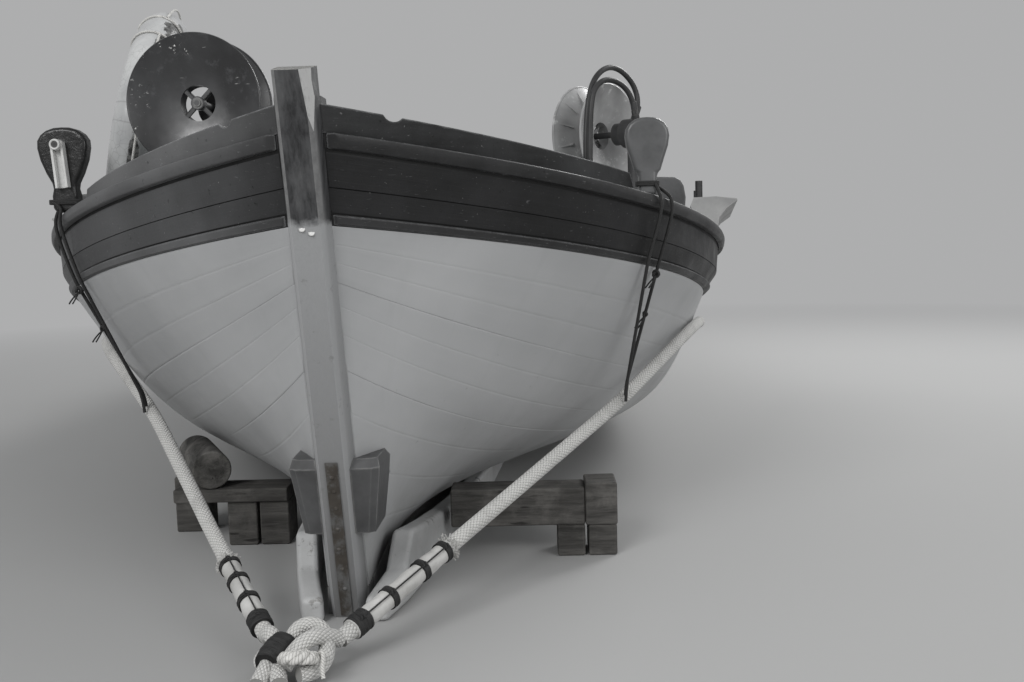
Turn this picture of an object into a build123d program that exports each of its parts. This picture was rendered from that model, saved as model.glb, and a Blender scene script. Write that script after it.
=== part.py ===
from build123d import *
import math
import os

# A wooden beach-launched rowing boat, seen bow on. Millimetres, +Z up, bow towards -Y,
# port side +X. The origin lies on the ground under the keel, below the foot of the stem.
os.makedirs("parts", exist_ok=True)

# Hull form
STEM_RAKE = 0.30
STEM_HALF = 51.0
STERN_Y = 5900.0
STERN_RAKE = -0.10
PLAN_LENGTH = 2360.0
SHEER_STEM = 1181.0
SHEER_SLOPE = 0.176
SHEER_LOW_AT = 3400.0
SHEER_SPLIT = 1200.0
SHEER_RISE_AFT = 0.000012
TAPER_FROM = 2500.0
TAPER_SHEER = 0.27
TAPER_BOTTOM = 0.36
KEEL_DEPTH = 70.0
KEEL_HALF = 53.0
PLANK = 22.0
SEAM = 0.35

# Hull lines: half beam, fullness, drop below the sheer at the stem and from 1.2 m aft
LINES = {
    "bulwark": (1176.0, 2.576, -62.0, -70.0),
    "sheer": (1212.0, 2.80, 0.0, 0.0),
    "rail_foot": (1209.0, 2.86, 33.0, 42.0),
    "seam": (1201.0, 2.96, 114.0, 129.0),
    "mould_top": (1155.0, 3.10, 174.0, 180.0),
    "paint": (1147.0, 3.149, 198.0, 204.0),
}
CORNER_BEAM = 1130.0
CORNER_FULL = 1.476
CORNER_LENGTH = 2520.0
CORNER_STEM = 801.0
CORNER_LOW = 10.0
CORNER_FALL = 972.0
BILGE_WEIGHT_BOW = 1.495
BILGE_WEIGHT_MID = 1.628

# Station planes: distance aft at ground level and lean
STATIONS = [
    (0.4, 0.300),
    (180.0, 0.290),
    (450.0, 0.270),
    (850.0, 0.230),
    (1400.0, 0.170),
    (2100.0, 0.100),
    (2900.0, 0.040),
    (3700.0, 0.000),
    (4500.0, -0.030),
    (5200.0, -0.065),
    (5899.6, -0.100),
]


def sheer(t):
    first = min(t, SHEER_SPLIT)
    h = SHEER_STEM - SHEER_SLOPE * first + 0.0000046 * first * first
    slope = SHEER_SLOPE - 2 * 0.0000046 * SHEER_SPLIT
    span = SHEER_LOW_AT - SHEER_SPLIT
    if t > SHEER_SPLIT:
        u = min(t, SHEER_LOW_AT) - SHEER_SPLIT
        h += -slope * u + slope / (2 * span) * u * u
    if t > SHEER_LOW_AT:
        h += SHEER_RISE_AFT * (t - SHEER_LOW_AT) ** 2
    return h


def taper(y, share):
    if y <= TAPER_FROM:
        return 1.0
    return 1.0 - share * ((y - TAPER_FROM) / (STERN_Y - TAPER_FROM)) ** 2.0


def plan(t, beam, full, length):
    x = max(0.0, 1.0 - max(t, 0.0) / length)
    return STEM_HALF + (beam - STEM_HALF) * (1.0 - x**full)


def drop(name, t):
    low = LINES[name][2]
    high = LINES[name][3]
    return low + (high - low) * min(max(t, 0.0) / SHEER_SPLIT, 1.0)


def line_at(name, station):
    # where a named hull line crosses a station plane
    base, lean = station
    beam, full = LINES[name][0], LINES[name][1]
    start = SHEER_STEM - LINES[name][2]
    z = start
    for _ in range(30):
        y = base - lean * z
        t = y + STEM_RAKE * start
        z = sheer(max(t, 0.0)) - drop(name, t)
    b = plan(t, beam, full, PLAN_LENGTH) * taper(y, TAPER_SHEER)
    return b, z


def corner_at(station):
    base, lean = station
    z = CORNER_STEM
    for _ in range(30):
        y = base - lean * z
        t = y + STEM_RAKE * CORNER_STEM
        z = CORNER_LOW + (CORNER_STEM - CORNER_LOW) * math.exp(-max(t, 0.0) / CORNER_FALL)
        if y > TAPER_FROM:
            z += 90.0 * ((y - TAPER_FROM) / (STERN_Y - TAPER_FROM)) ** 2
    b = plan(t, CORNER_BEAM, CORNER_FULL, CORNER_LENGTH) * taper(y, TAPER_BOTTOM)
    weight = BILGE_WEIGHT_BOW + (BILGE_WEIGHT_MID - BILGE_WEIGHT_BOW) * min(max(t, 0) / 2160.0, 1.0)
    return b, z, weight


def bottom_at(station, s):
    # the round of the bilge from the paint line (s = 0) to the keel (s = 1)
    b0, z0 = line_at("paint", station)
    b1, z1, w = corner_at(station)
    b2, z2 = KEEL_HALF, KEEL_DEPTH + 1.0
    k0, k1, k2 = (1 - s) ** 2, 2 * w * s * (1 - s), s * s
    total = k0 + k1 + k2
    return (k0 * b0 + k1 * b1 + k2 * b2) / total, (k0 * z0 + k1 * z1 + k2 * z2) / total


def top_at(station, v):
    # the topsides from the sheer (v = 0) over the seam (v = 1) to the paint line (v = 2)
    names = ["sheer", "seam", "paint"]
    i = min(int(v), 1)
    a, b = line_at(names[i], station), line_at(names[i + 1], station)
    f = v - i
    return a[0] + (b[0] - a[0]) * f, a[1] + (b[1] - a[1]) * f


def skin(station, g):
    # g runs 0..2 over the topsides and 2..3 round the bottom
    if g <= 2.0:
        return top_at(station, g)
    return bottom_at(station, g - 2.0)


def normal(station, g):
    # inward normal in the station plane, and the factor that keeps the true thickness
    e = 0.02
    lo, hi = max(g - e, 0.0), min(g + e, 3.0)
    a, b = skin(station, lo), skin(station, hi)
    d = math.hypot(b[0] - a[0], b[1] - a[1])
    nx, nz = (b[1] - a[1]) / d, -(b[0] - a[0]) / d
    base, lean = station
    ahead, behind = skin((base + 20.0, lean), g), skin((max(base - 20.0, 0.0), lean), g)
    run = 20.0 + min(base, 20.0)
    slope = ((ahead[0] - behind[0]) * nx + (ahead[1] - behind[1]) * nz) / run
    return nx, nz, math.sqrt(1.0 + slope * slope)


def offset_point(station, g, depth):
    b, z = skin(station, g)
    nx, nz, k = normal(station, g)
    return b + nx * depth * k, z + nz * depth * k


def place(station, b, z, side):
    base, lean = station
    return Vector(side * b, base - lean * z, z)


def outline(station, side, corners, arcs):
    # a closed wire in a station plane: corners in order, with a mid point where arcs asks
    edges = []
    count = len(corners)
    for i in range(count):
        p = place(station, *corners[i], side)
        q = place(station, *corners[(i + 1) % count], side)
        if arcs.get(i) is None:
            edges.append(Edge.make_line(p, q))
        else:
            edges.append(Edge.make_three_point_arc(p, place(station, *arcs[i], side), q))
    return Wire(edges)


def edge_points(station, g, inward, outer, inner):
    # the two corners of a plank's edge, set back from the seam line by half a seam
    nx, nz, k = normal(station, g)
    b, z = skin(station, g)
    tx, tz = -nz * inward * SEAM, nx * inward * SEAM
    first = (b + nx * outer * k + tx, z + nz * outer * k + tz)
    second = (b + nx * inner * k + tx, z + nz * inner * k + tz)
    return first, second


def strake(side, top, low, outer, inner, stations, curved):
    # a plank between two girth values, from depth outer to depth inner below the skin
    wires = []
    for st in stations:
        top_out, top_in = edge_points(st, top, 1.0, outer, inner)
        low_out, low_in = edge_points(st, low, -1.0, outer, inner)
        arcs = {}
        if curved:
            mid = (top + low) / 2
            arcs = {0: offset_point(st, mid, outer), 2: offset_point(st, mid, inner)}
        wires.append(outline(st, side, [top_out, low_out, low_in, top_in], arcs))
    return Solid.make_loft(wires, ruled=False)


def upper_face(station, share, depth):
    # a point on the flat inner or outer face of the sheer strake, share down from its top
    n0 = edge_points(station, 0.0, 1.0, depth, depth)[0]
    n1 = edge_points(station, 1.0, -1.0, depth, depth)[0]
    return n0[0] + (n1[0] - n0[0]) * share, n0[1] + (n1[1] - n0[1]) * share


def lean_at(base):
    for (b0, l0), (b1, l1) in zip(STATIONS, STATIONS[1:]):
        if base <= b1:
            return l0 + (l1 - l0) * max(base - b0, 0.0) / (b1 - b0)
    return STATIONS[-1][1]


def plan_at(y, g, depth):
    # a point at the true distance aft y, found on the leaning station that holds it
    base = y
    for _ in range(25):
        station = (max(base, 0.5), lean_at(base))
        b, z = offset_point(station, g, depth)
        base = y + station[1] * z
    return b, z


def save(shape, name):
    export_step(shape, "parts/" + name + ".step")


SIDES = {"port": 1, "starboard": -1}
GIRTH = {"topside": (2.0, 2.24), "bilge": (2.24, 2.56), "bottom": (2.56, 3.0)}
GARBOARD = 2.76
SEAM_GIRTH = 0.0007
BUTTS = (1180.0, 2020.0)

shell = {}
for side_name, side in SIDES.items():
    for band, (g0, g1) in GIRTH.items():
        if band == "bottom":
            planks = []
            for top, low in ((g0, GARBOARD - SEAM_GIRTH), (GARBOARD + SEAM_GIRTH, g1)):
                plank = strake(side, top, low, 0.0, PLANK, STATIONS, True)
                for y in BUTTS:
                    plank = plank - Pos(0, y, 600) * Box(3000, SEAM, 1600)
                planks += plank.solids()
            shell[band, side_name] = Compound(planks)
        else:
            shell[band, side_name] = strake(side, g0, g1, 0.0, PLANK, STATIONS, True)
        save(shell[band, side_name], f"{band}_planking_{side_name}")
    shell["upper", side_name] = strake(side, 0.0, 1.0, 0.0, PLANK, STATIONS, False)
    save(shell["upper", side_name], f"sheer_strake_{side_name}")
    shell["lower", side_name] = strake(side, 1.0, 2.0, 0.0, PLANK, STATIONS, False)
    save(shell["lower", side_name], f"second_strake_{side_name}")
    print(side_name, [round(shell[b, side_name].volume) for b in ("topside", "bilge", "bottom", "upper", "lower")])


def side_prism(points, x0, x1):
    # a profile in the length-height plane, between two widths
    face = make_face(Polyline(*[(x0, y, z) for y, z in points], close=True))
    return extrude(face, amount=x1 - x0, dir=(1, 0, 0))


def front_prism(points, y0, y1):
    # a profile seen from the bow, between two distances aft
    face = make_face(Polyline(*[(x, y0, z) for x, z in points], close=True))
    return extrude(face, amount=y1 - y0, dir=(0, 1, 0))


def plan_prism(points, z0, z1):
    face = make_face(Polyline(*[(x, y, z0) for x, y in points], close=True))
    return extrude(face, amount=z1 - z0, dir=(0, 0, 1))


def block(x0, x1, y0, y1, z0, z1):
    return Pos((x0 + x1) / 2, (y0 + y1) / 2, (z0 + z1) / 2) * Box(x1 - x0, y1 - y0, z1 - z0)


def raked_section(points, z):
    # a plan section of the stem at height z, set forward by the rake
    return Wire(Polyline(*[(x, t - STEM_RAKE * z, z) for x, t in points], close=True).edges())


# Backbone: stem, inner stem, keel, keelson, stern post and transom
STEM_DEPTH = 52.0
STEM_SIDE = 49.0
STEM_EDGE = 38.0
STEM_FACE = 30.0
HEEL_END = 60.0
STEM_TOP_FRONT = 1304.0
HEAD_FROM = 1010.0
HEAD_DEPTH = 96.0
HEAD_HALF = 42.0
HEAD_SIDE = 46.0
BEVEL_NOSE = 6.0
APRON_SIDE = 33.0


def stem_section(side):
    # plan of the stem before the rabbet: flat face, small bevels, sides widening to the planks
    half = [(STEM_FACE, -STEM_DEPTH), (STEM_EDGE, -STEM_DEPTH + 8), (side, 0.0)]
    return half + [(-x, t) for x, t in reversed(half)]


body_low = raked_section(stem_section(STEM_SIDE), 0.0)
body_high = raked_section(stem_section(STEM_SIDE), 1252.0)
neck_high = raked_section(stem_section(HEAD_HALF), 1286.0)
top_high = raked_section(stem_section(HEAD_HALF), 1440.0)
lower_stem = Solid.make_loft([body_low, body_high], ruled=True) + Solid.make_loft([body_high, neck_high], ruled=True)
lower_stem = lower_stem + Solid.make_loft([neck_high, top_high], ruled=True)
heel = block(-KEEL_HALF, KEEL_HALF, -24.0, HEEL_END, 0.0, KEEL_DEPTH)
head_plan = [(-BEVEL_NOSE, 0.0), (BEVEL_NOSE, 0.0), (HEAD_SIDE, 38.0), (HEAD_SIDE, HEAD_DEPTH),
             (-HEAD_SIDE, HEAD_DEPTH), (-HEAD_SIDE, 38.0)]
head_low = raked_section(head_plan, HEAD_FROM)
head_high = raked_section(head_plan, 1150.0)
shoulder = [(-HEAD_HALF, -1.0), (HEAD_HALF, -1.0), (HEAD_HALF, 46.0), (-HEAD_HALF, 46.0)]
head = Solid.make_loft([head_low, head_high], ruled=True)
post_low = raked_section(shoulder, 1262.0)
post_high = raked_section(shoulder, 1440.0)
neck = Solid.make_loft([raked_section(head_plan, 1150.0), raked_section(head_plan, 1262.0)], ruled=True)
stem = lower_stem + heel + head + neck
stem = stem + Solid.make_loft([post_low, post_high], ruled=True)
top_y = -STEM_RAKE * STEM_TOP_FRONT - STEM_DEPTH
above = side_prism(
    [
        (top_y - 60, STEM_TOP_FRONT - 13),
        (top_y + 260, STEM_TOP_FRONT + 57),
        (top_y + 260, 1600),
        (top_y - 60, 1600),
    ],
    -90,
    90,
)
stem = stem - above
save(stem, "stem_post")

apron_plan = [(-BEVEL_NOSE, 0.0), (BEVEL_NOSE, 0.0), (APRON_SIDE, 62.0), (APRON_SIDE, 120.0),
              (-APRON_SIDE, 120.0), (-APRON_SIDE, 62.0)]
apron = Solid.make_loft([raked_section(apron_plan, 330.0), raked_section(apron_plan, HEAD_FROM - 0.5)], ruled=True)
save(apron, "inner_stem")

keel = side_prism(
    [
        (HEEL_END, 0),
        (STERN_Y + 40, 0),
        (STERN_Y + 40, KEEL_DEPTH),
        (HEEL_END, KEEL_DEPTH),
    ],
    -KEEL_HALF,
    KEEL_HALF,
)
save(keel, "keel")
keelson = side_prism([(560, KEEL_DEPTH), (STERN_Y - 60, KEEL_DEPTH), (STERN_Y - 60, 150), (640, 150)], -22.0, 22.0)
save(keelson, "keelson")

# The transom closes the planks' after ends
TRANSOM_THICK = 36.0
last = STATIONS[-1]
rim = []
for g in [0.0, 1.0, 2.0, 2.08, 2.16, 2.24, 2.32, 2.40, 2.48, 2.56, 2.66, 2.78, 2.9, 3.0]:
    rim.append(skin(last, g))


def transom_point(b, z, off):
    return (b, STERN_Y - STERN_RAKE * z + off, z)


loop = [(b, z) for b, z in rim] + [(-b, z) for b, z in reversed(rim)]
crown = [(-rim[0][0] * 0.5, rim[0][1] + 30), (0, rim[0][1] + 42), (rim[0][0] * 0.5, rim[0][1] + 30)]
loop = loop + crown
inner_face = make_face(Polyline(*[transom_point(b, z, 0.0) for b, z in loop], close=True))
transom = extrude(inner_face, amount=TRANSOM_THICK, dir=(0, 1, 0))
save(transom, "transom")
stern_post = side_prism(
    [
        (STERN_Y + TRANSOM_THICK - STERN_RAKE * 71 + 0.3, KEEL_DEPTH + 1),
        (STERN_Y + TRANSOM_THICK - STERN_RAKE * 71 + 90, KEEL_DEPTH + 1),
        (STERN_Y + TRANSOM_THICK - STERN_RAKE * 700 + 70, 700),
        (STERN_Y + TRANSOM_THICK - STERN_RAKE * 700 + 0.3, 700),
    ],
    -30,
    30,
)
skeg_end = side_prism(
    [(STERN_Y + 40, 0), (STERN_Y + 134, 0), (STERN_Y + 134, KEEL_DEPTH + 1), (STERN_Y + 40, KEEL_DEPTH + 1)],
    -30,
    30,
)
save(stern_post + skeg_end, "stern_post")

# Iron band down the lower stem and under its foot
BAND_HALF = 15.0
band_plan = [(-BAND_HALF, -STEM_DEPTH - 4.3), (BAND_HALF, -STEM_DEPTH - 4.3), (BAND_HALF, -STEM_DEPTH - 0.3),
             (-BAND_HALF, -STEM_DEPTH - 0.3)]
band = Solid.make_loft([raked_section(band_plan, 6.0), raked_section(band_plan, 425.0)], ruled=True)
save(band, "stem_iron_band")

# Rubbing rails, mouldings, inwales and bulwarks run from the stem aft
RAIL_OUT = 22.0
RAIL_SHARE = 0.29
INWALE_SHARE = 0.36
INWALE_FROM = -120.0
rails, mouldings, inwales = [], [], []
for side_name, side in SIDES.items():
    wires = []
    for st in STATIONS:
        k = normal(st, 0.3)[2]
        inner_low = upper_face(st, RAIL_SHARE, 0.0)
        inner_top = upper_face(st, 0.0, 0.0)
        inner_low = (inner_low[0] + 0.5, inner_low[1])
        inner_top = (inner_top[0] + 0.5, inner_top[1])
        reach = RAIL_OUT * min(k, 1.25)
        wires.append(
            outline(
                st,
                side,
                [
                    inner_low,
                    (inner_low[0] + reach * 0.80, inner_low[1] + 1.0),
                    (inner_low[0] + reach, inner_low[1] + 13.0),
                    (inner_top[0] + reach, inner_top[1] - 8.0),
                    (inner_top[0] + reach * 0.80, inner_top[1] + 2.0),
                    (inner_top[0], inner_top[1] + 2.0),
                ],
                {},
            )
        )
    rails.append(Solid.make_loft(wires, ruled=False))
    wires = []
    for st in STATIONS:
        low = offset_point(st, 1.99, -SEAM)
        top = offset_point(st, 1.69, -SEAM)
        wires.append(
            outline(st, side, [low, (low[0] + 10, low[1] + 3), (top[0] + 10, top[1] - 4), top], {})
        )
    mouldings.append(Solid.make_loft(wires, ruled=False))
    wires = []
    for st in STATIONS:
        top = upper_face(st, 0.0, PLANK)
        low = upper_face(st, INWALE_SHARE, PLANK)
        top = (top[0] - 0.8, top[1])
        low = (low[0] - 0.8, low[1])
        wires.append(
            outline(st, side, [top, low, (low[0] - 46, low[1] + 1), (top[0] - 46, top[1] + 1)], {})
        )
    inwale = Solid.make_loft(wires, ruled=False)
    inwales.append((inwale - block(-400, 400, -900, INWALE_FROM, 900, 1400)).solid())
save(Compound(rails), "rubbing_rails")
save(Compound(mouldings), "lower_mouldings")
save(Compound(inwales), "inwales")

BULWARK_STATIONS = [(0.6, 0.300), (180.0, 0.290), (450.0, 0.270), (680.0, 0.247)]
BULWARK_THICK = 26.0
NOTCH_AT = 190.0
bulwarks = []
for side_name, side in SIDES.items():
    wires = []
    for st in BULWARK_STATIONS:
        b, z = line_at("bulwark", st)
        bs, zs = line_at("sheer", st)
        foot = bs - 24.0 - 16.0 * min(st[0] / 450.0, 1.0)
        base, lean = st
        ahead = line_at("bulwark", (base + 20.0, lean))
        k = math.sqrt(1.0 + ((ahead[0] - b) / 20.0) ** 2)
        if base < 1.0:
            foot = b = STEM_HALF
        thick = BULWARK_THICK * k
        corners = [(foot, zs + 0.9), (b, z), (b - thick, z), (foot - thick, zs + 0.9)]
        wires.append(outline(st, side, corners, {}))
    bulwark = Solid.make_loft(wires, ruled=False)
    notch_z = 1232.0
    hole = Pos(side * NOTCH_AT, -240, notch_z) * Rot(90, 0, 0) * Cylinder(21, 260)
    step = Pos(side * (NOTCH_AT + 30), -240, notch_z + 26) * Rot(90, 0, 0) * Cylinder(24, 260)
    bulwark = bulwark - hole - step
    bulwarks.append(bulwark.solid())
save(Compound(bulwarks), "bulwarks")


def inner_breadth(y, z, depth):
    # half breadth inside the hull at height z, depth below the outer skin
    found = None
    previous = plan_at(y, 0.0, depth)
    for i in range(1, 61):
        point = plan_at(y, 3.0 * i / 60, depth)
        if previous[1] >= z >= point[1] and found is None:
            f = (previous[1] - z) / max(previous[1] - point[1], 1e-6)
            found = previous[0] + (point[0] - previous[0]) * f
        previous = point
    return found


def slope_at(y, g):
    a, b = plan_at(y - 20.0, g, 0.0), plan_at(y + 20.0, g, 0.0)
    return math.hypot(b[0] - a[0], b[1] - a[1]) / 40.0


# Frames stand on the planking on both sides of the keelson
FRAME_WIDE = 28.0
FRAME_DEEP = 30.0
FRAME_AT = [760, 1180, 1600, 2020, 2440, 2860, 3280, 3700, 4120, 4540, 4960, 5380]
FRAME_CLEAR = 5.0
# girth values of the corners of the four timbers of a frame: side, bilge, futtock and floor
FRAME_TIMBERS = [[0.42, 1.2, 1.95, 2.15], [2.15, 2.3, 2.42], [2.42, 2.57, 2.72], [2.72, 2.80]]
FLOOR_TOP = 134.0
KEELSON_HALF = 22.0
frames = []
for y in FRAME_AT:
    for timber in FRAME_TIMBERS:
        outer, inner = [], []
        for g in timber:
            clear = FRAME_CLEAR + slope_at(y, g) * FRAME_WIDE * 0.6
            outer.append(plan_at(y, g, PLANK + clear))
            inner.append(plan_at(y, g, PLANK + clear + FRAME_DEEP))
        if timber[-1] == FRAME_TIMBERS[-1][-1]:
            foot = max(outer[-1][1] - 6.0, 100.0)
            outer.append((KEELSON_HALF + 0.3, foot))
            inner = [p for p in inner if p[1] > FLOOR_TOP or p[0] > 300.0]
            inner.append((KEELSON_HALF + 0.3, max(FLOOR_TOP, foot + FRAME_DEEP)))
        half = outer + list(reversed(inner))
        for side in (1, -1):
            frame = front_prism([(side * x, z) for x, z in half], y - FRAME_WIDE / 2, y + FRAME_WIDE / 2)
            if 1400 < y < 5200:
                frame = frame - block(-482, 482, y - 40, y + 40, FLOOR_TOP + 2.0, 240.0)
            frames.append(frame.solid())
frame_set = Compound(frames)
save(frame_set, "frames")

# Risings carry the thwarts
RISING_IN = FRAME_DEEP + 2.0
RISING_STATIONS = [(1580.0, 0.150)] + STATIONS[5:-1] + [(5840.0, -0.095)]
risings = []
for side_name, side in SIDES.items():
    wires = []
    for st in RISING_STATIONS:
        a = offset_point(st, 1.30, PLANK + RISING_IN)
        b = offset_point(st, 1.62, PLANK + RISING_IN)
        wires.append(outline(st, side, [a, b, (b[0] - 24, b[1]), (a[0] - 24, a[1])], {}))
    rising = Solid.make_loft(wires, ruled=False)
    for frame in frames:
        box = frame.bounding_box()
        if box.max.X * side > 0 and box.max.Z > 560:
            rising = rising - frame
    risings.append(rising.solid())
save(Compound(risings), "risings")

# Thwarts: distance aft, width, thickness
THWARTS = [(1760.0, 230.0, 34.0), (2720.0, 240.0, 34.0), (3850.0, 240.0, 34.0), (5120.0, 420.0, 30.0)]
thwarts = []
for y, wide, thick in THWARTS:
    z = max(plan_at(y + d * wide / 2, 1.30, PLANK + RISING_IN)[1] for d in (-1, 0, 1)) - 1.0
    ends = []
    for d in (-1, -0.5, 0, 0.5, 1):
        yy = y + d * wide / 2
        ends.append((min(inner_breadth(yy, z, PLANK + 44.0), inner_breadth(yy, z + thick, PLANK + 44.0)) - 4, yy))
    loop = ends + [(-x, yy) for x, yy in reversed(ends)]
    thwart = plan_prism(loop, z, z + thick)
    for rising in risings:
        thwart = thwart - rising
    thwarts.append(thwart.solid())
    print("thwart", y, round(z), "half", round(ends[0][0]), round(thwart.volume))
save(Compound(thwarts), "thwarts")

# Floorboards lie on the keelson, joined by bearers below
BOARD = 128.0
boards = None
for i in range(-3, 4):
    piece = block(i * (BOARD + 7) - BOARD / 2, i * (BOARD + 7) + BOARD / 2, 1680.0, 4760.0, 150.4, 168.0)
    boards = piece if boards is None else boards + piece
for y in (1810.0, 2650.0, 3490.0, 4330.0):
    boards = boards + block(24, 466, y - 35, y + 35, 137.0, 150.4) + block(-466, -24, y - 35, y + 35, 137.0, 150.4)
save(boards, "floorboards")

# The half deck over the bow slopes with the sheer, and a bulkhead closes it
DECK_SLOPE = 0.150
DECK_Z = 1082.0
DECK_THICK = 22.0
DECK_END = 1420.0


def deck_z(y):
    return DECK_Z - DECK_SLOPE * y


def deck_half(y):
    z = deck_z(y)
    width = inner_breadth(y, z - 10, PLANK + 46.0 + 7.0) or 0.0
    return width - 4.0 - slope_at(y, 0.4) * 8.0


deck_front = -STEM_RAKE * (deck_z(-230.0) - DECK_THICK) + HEAD_DEPTH + 0.5
edge = []
for y in [-130, -60, 20, 120, 240, 400, 580, 780, 1000, 1200, DECK_END]:
    edge.append((deck_half(y), y))
points = [(54.0, deck_front)] + edge + [(-x, y) for x, y in reversed(edge)] + [(-54.0, deck_front)]
deck_face = make_face(Polyline(*[(x, y, deck_z(y)) for x, y in points], close=True))
deck = extrude(deck_face, amount=DECK_THICK, dir=(0, 0, -1))
save(deck, "foredeck")

BULKHEAD_AT = 1392.0
bulk = []
top_z = deck_z(BULKHEAD_AT + 22) - DECK_THICK - 0.6
bulk.append((inner_breadth(BULKHEAD_AT, top_z, PLANK + 50.0) - 3, top_z))
for g in [1.0, 1.3, 1.6, 1.9, 2.1, 2.2, 2.3, 2.4, 2.5, 2.6, 2.7, 2.8]:
    p = plan_at(BULKHEAD_AT, g, PLANK + 50.0 + slope_at(BULKHEAD_AT, g) * 20)
    if p[1] < top_z - 5 and p[1] > 152:
        bulk.append(p)
bulk.append((bulk[-1][0] - 20, 150.4))
loop = bulk + [(-x, z) for x, z in reversed(bulk)]
save(front_prism(loop, BULKHEAD_AT - 11, BULKHEAD_AT + 11), "fore_bulkhead")

# Cheek blocks flank the stem low down
CHEEK_LOW = 232.0
CHEEK_HIGH = 425.0
CHEEK_GAP = 0.5


def beside_stem(t):
    # a point just clear of the stem's side at distance t aft of the rabbet
    share = min(max((t + STEM_DEPTH - 8) / (STEM_DEPTH - 8), 0.0), 1.0)
    return STEM_EDGE + (STEM_SIDE - STEM_EDGE) * share + CHEEK_GAP, t


cheeks = []
for side_name, side in SIDES.items():
    plan_low = [beside_stem(-40), (72, -38), (88, -26), (92, 120), beside_stem(120), beside_stem(0)]
    plan_high = [beside_stem(-38), (92, -34), (110, -20), (116, 150), beside_stem(150), beside_stem(0)]
    low = raked_section([(side * x, t) for x, t in plan_low], CHEEK_LOW)
    high = raked_section([(side * x, t) for x, t in plan_high], CHEEK_HIGH - 22)
    cap_plan = [beside_stem(-12), (88, -10), (104, 2), (108, 150), beside_stem(150), beside_stem(0)]
    cap = raked_section([(side * x, t) for x, t in cap_plan], CHEEK_HIGH)
    cheek = Solid.make_loft([low, high], ruled=True) + Solid.make_loft([high, cap], ruled=True)
    for band in ("topside", "bilge", "bottom"):
        cheek = cheek - shell[band, side_name]
    solids = sorted(cheek.solids(), key=lambda s: min(v.Y + STEM_RAKE * v.Z for v in s.vertices()))
    cheeks.append(solids[0])
    print("cheek", side_name, [round(s.volume) for s in cheek.solids()])
save(Compound(cheeks), "cheek_blocks")

# Skid runners flank the keel and carry the boat on the ground
SKID = [(-96.0, 78.0), (44.0, 116.0), (110.0, 129.0), (180.0, 141.0), (350.0, 165.0), (520.0, 189.0),
        (725.0, 216.0), (1000.0, 250.0), (1300.0, 290.0), (1800.0, 330.0), (2400.0, 360.0), (3000.0, 364.0),
        (3600.0, 360.0), (4200.0, 344.0), (4800.0, 320.0)]
SKID_THICK = 58.0
SKID_CLEAR = 13.0
skids = []
tops = []
for y, x in SKID:
    if y < 100:
        tops.append(62.0 if y < 0 else 96.0)
    else:
        heights = []
        for i in range(0, 31):
            b, z = plan_at(y, 2.4 + 0.6 * i / 30, 0.0)
            if abs(b - x) < SKID_THICK * 0.9:
                heights.append(z)
        tops.append(min(heights) - SKID_CLEAR)
print("skid tops", [round(top) for top in tops])
for side_name, side in SIDES.items():
    wires = []
    for (y, x), top in zip(SKID, tops):
        a = x - SKID_THICK / 2
        b = x + SKID_THICK / 2
        ring = [Vector(side * a, y, 0), Vector(side * b, y, 0), Vector(side * b, y, top), Vector(side * a, y, top)]
        wires.append(Wire(Polyline(*ring, close=True).edges()))
    skids.append(Solid.make_loft(wires, ruled=True))
save(Compound(skids), "skid_runners")

# Horn posts stand on the gunwales behind the ends of the bulwarks
HORN_Y = 445.0
HORN_THICK = 46.0
horn_foot = line_at("sheer", (HORN_Y - HORN_THICK / 2, 0.0))[1] + 2.1
# each horn: distance out, then its half width at heights above its foot
HORN_X = {"port": 827.0, "starboard": 848.0}
HORN_SHAPE = {
    "port": [(0, 26), (62, 26), (72, 37), (104, 47), (140, 59), (168, 63), (188, 60), (204, 50), (215, 35),
             (220, 18), (221, 0)],
    "starboard": [(0, 30), (14, 37), (48, 38), (68, 33), (84, 36), (112, 51), (150, 66), (184, 73), (206, 72),
                  (223, 61), (235, 44), (242, 22), (243, 0)],
}
horns = []
for side_name, side in SIDES.items():
    shape, centre = HORN_SHAPE[side_name], HORN_X[side_name]
    right = [(centre + w, horn_foot + h) for h, w in shape]
    left = [(centre - w, horn_foot + h) for h, w in reversed(shape[:-1])]
    horn = front_prism([(side * x, z) for x, z in right + left], HORN_Y - HORN_THICK / 2, HORN_Y + HORN_THICK / 2)
    horns.append(horn.solid())
save(Compound(horns), "horn_posts")

# The starboard horn carries a channel strap with a round eye at its head
STRAP_HALF = 18.0
STRAP_WALL = 7.0
STRAP_TILT = 4.0
STRAP_LOW = 70.0
STRAP_HIGH = 200.0
strap_y = HORN_Y - HORN_THICK / 2 - 0.3
strap = block(-STRAP_HALF, STRAP_HALF, -6, 0, STRAP_LOW, STRAP_HIGH)
for wall in (-1, 1):
    x0, x1 = sorted((wall * (STRAP_HALF - STRAP_WALL), wall * STRAP_HALF))
    strap += block(x0, x1, -22, 0, STRAP_LOW, STRAP_HIGH)
strap += Pos(0, -15, STRAP_HIGH - 8) * Rot(90, 0, 0) * Cylinder(16, 30)
strap = Pos(-HORN_X["starboard"] + 8, strap_y, horn_foot) * Rot(0, -STRAP_TILT, 0) * strap
save(strap, "horn_strap")

# Net hauling wheels: two hollow plates back to back make a rope groove. They turn on an axle.
WHEEL_RIM = 185.0
WHEEL_EYE = 50.0
BEAD = 5.0
PLATE = 7.0
# profile of one plate: distance along the axle from the middle, radius
DISH = [(23.0, WHEEL_EYE), (27.0, 80.0), (35.0, 112.0), (46.0, 144.0), (56.0, 168.0), (64.0, WHEEL_RIM)]
THROAT = 23.0
SPOKES_AT = -16.0
RIBS = 12
RIB_HIGH = 6.0
RIB_THICK = 5.0


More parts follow.
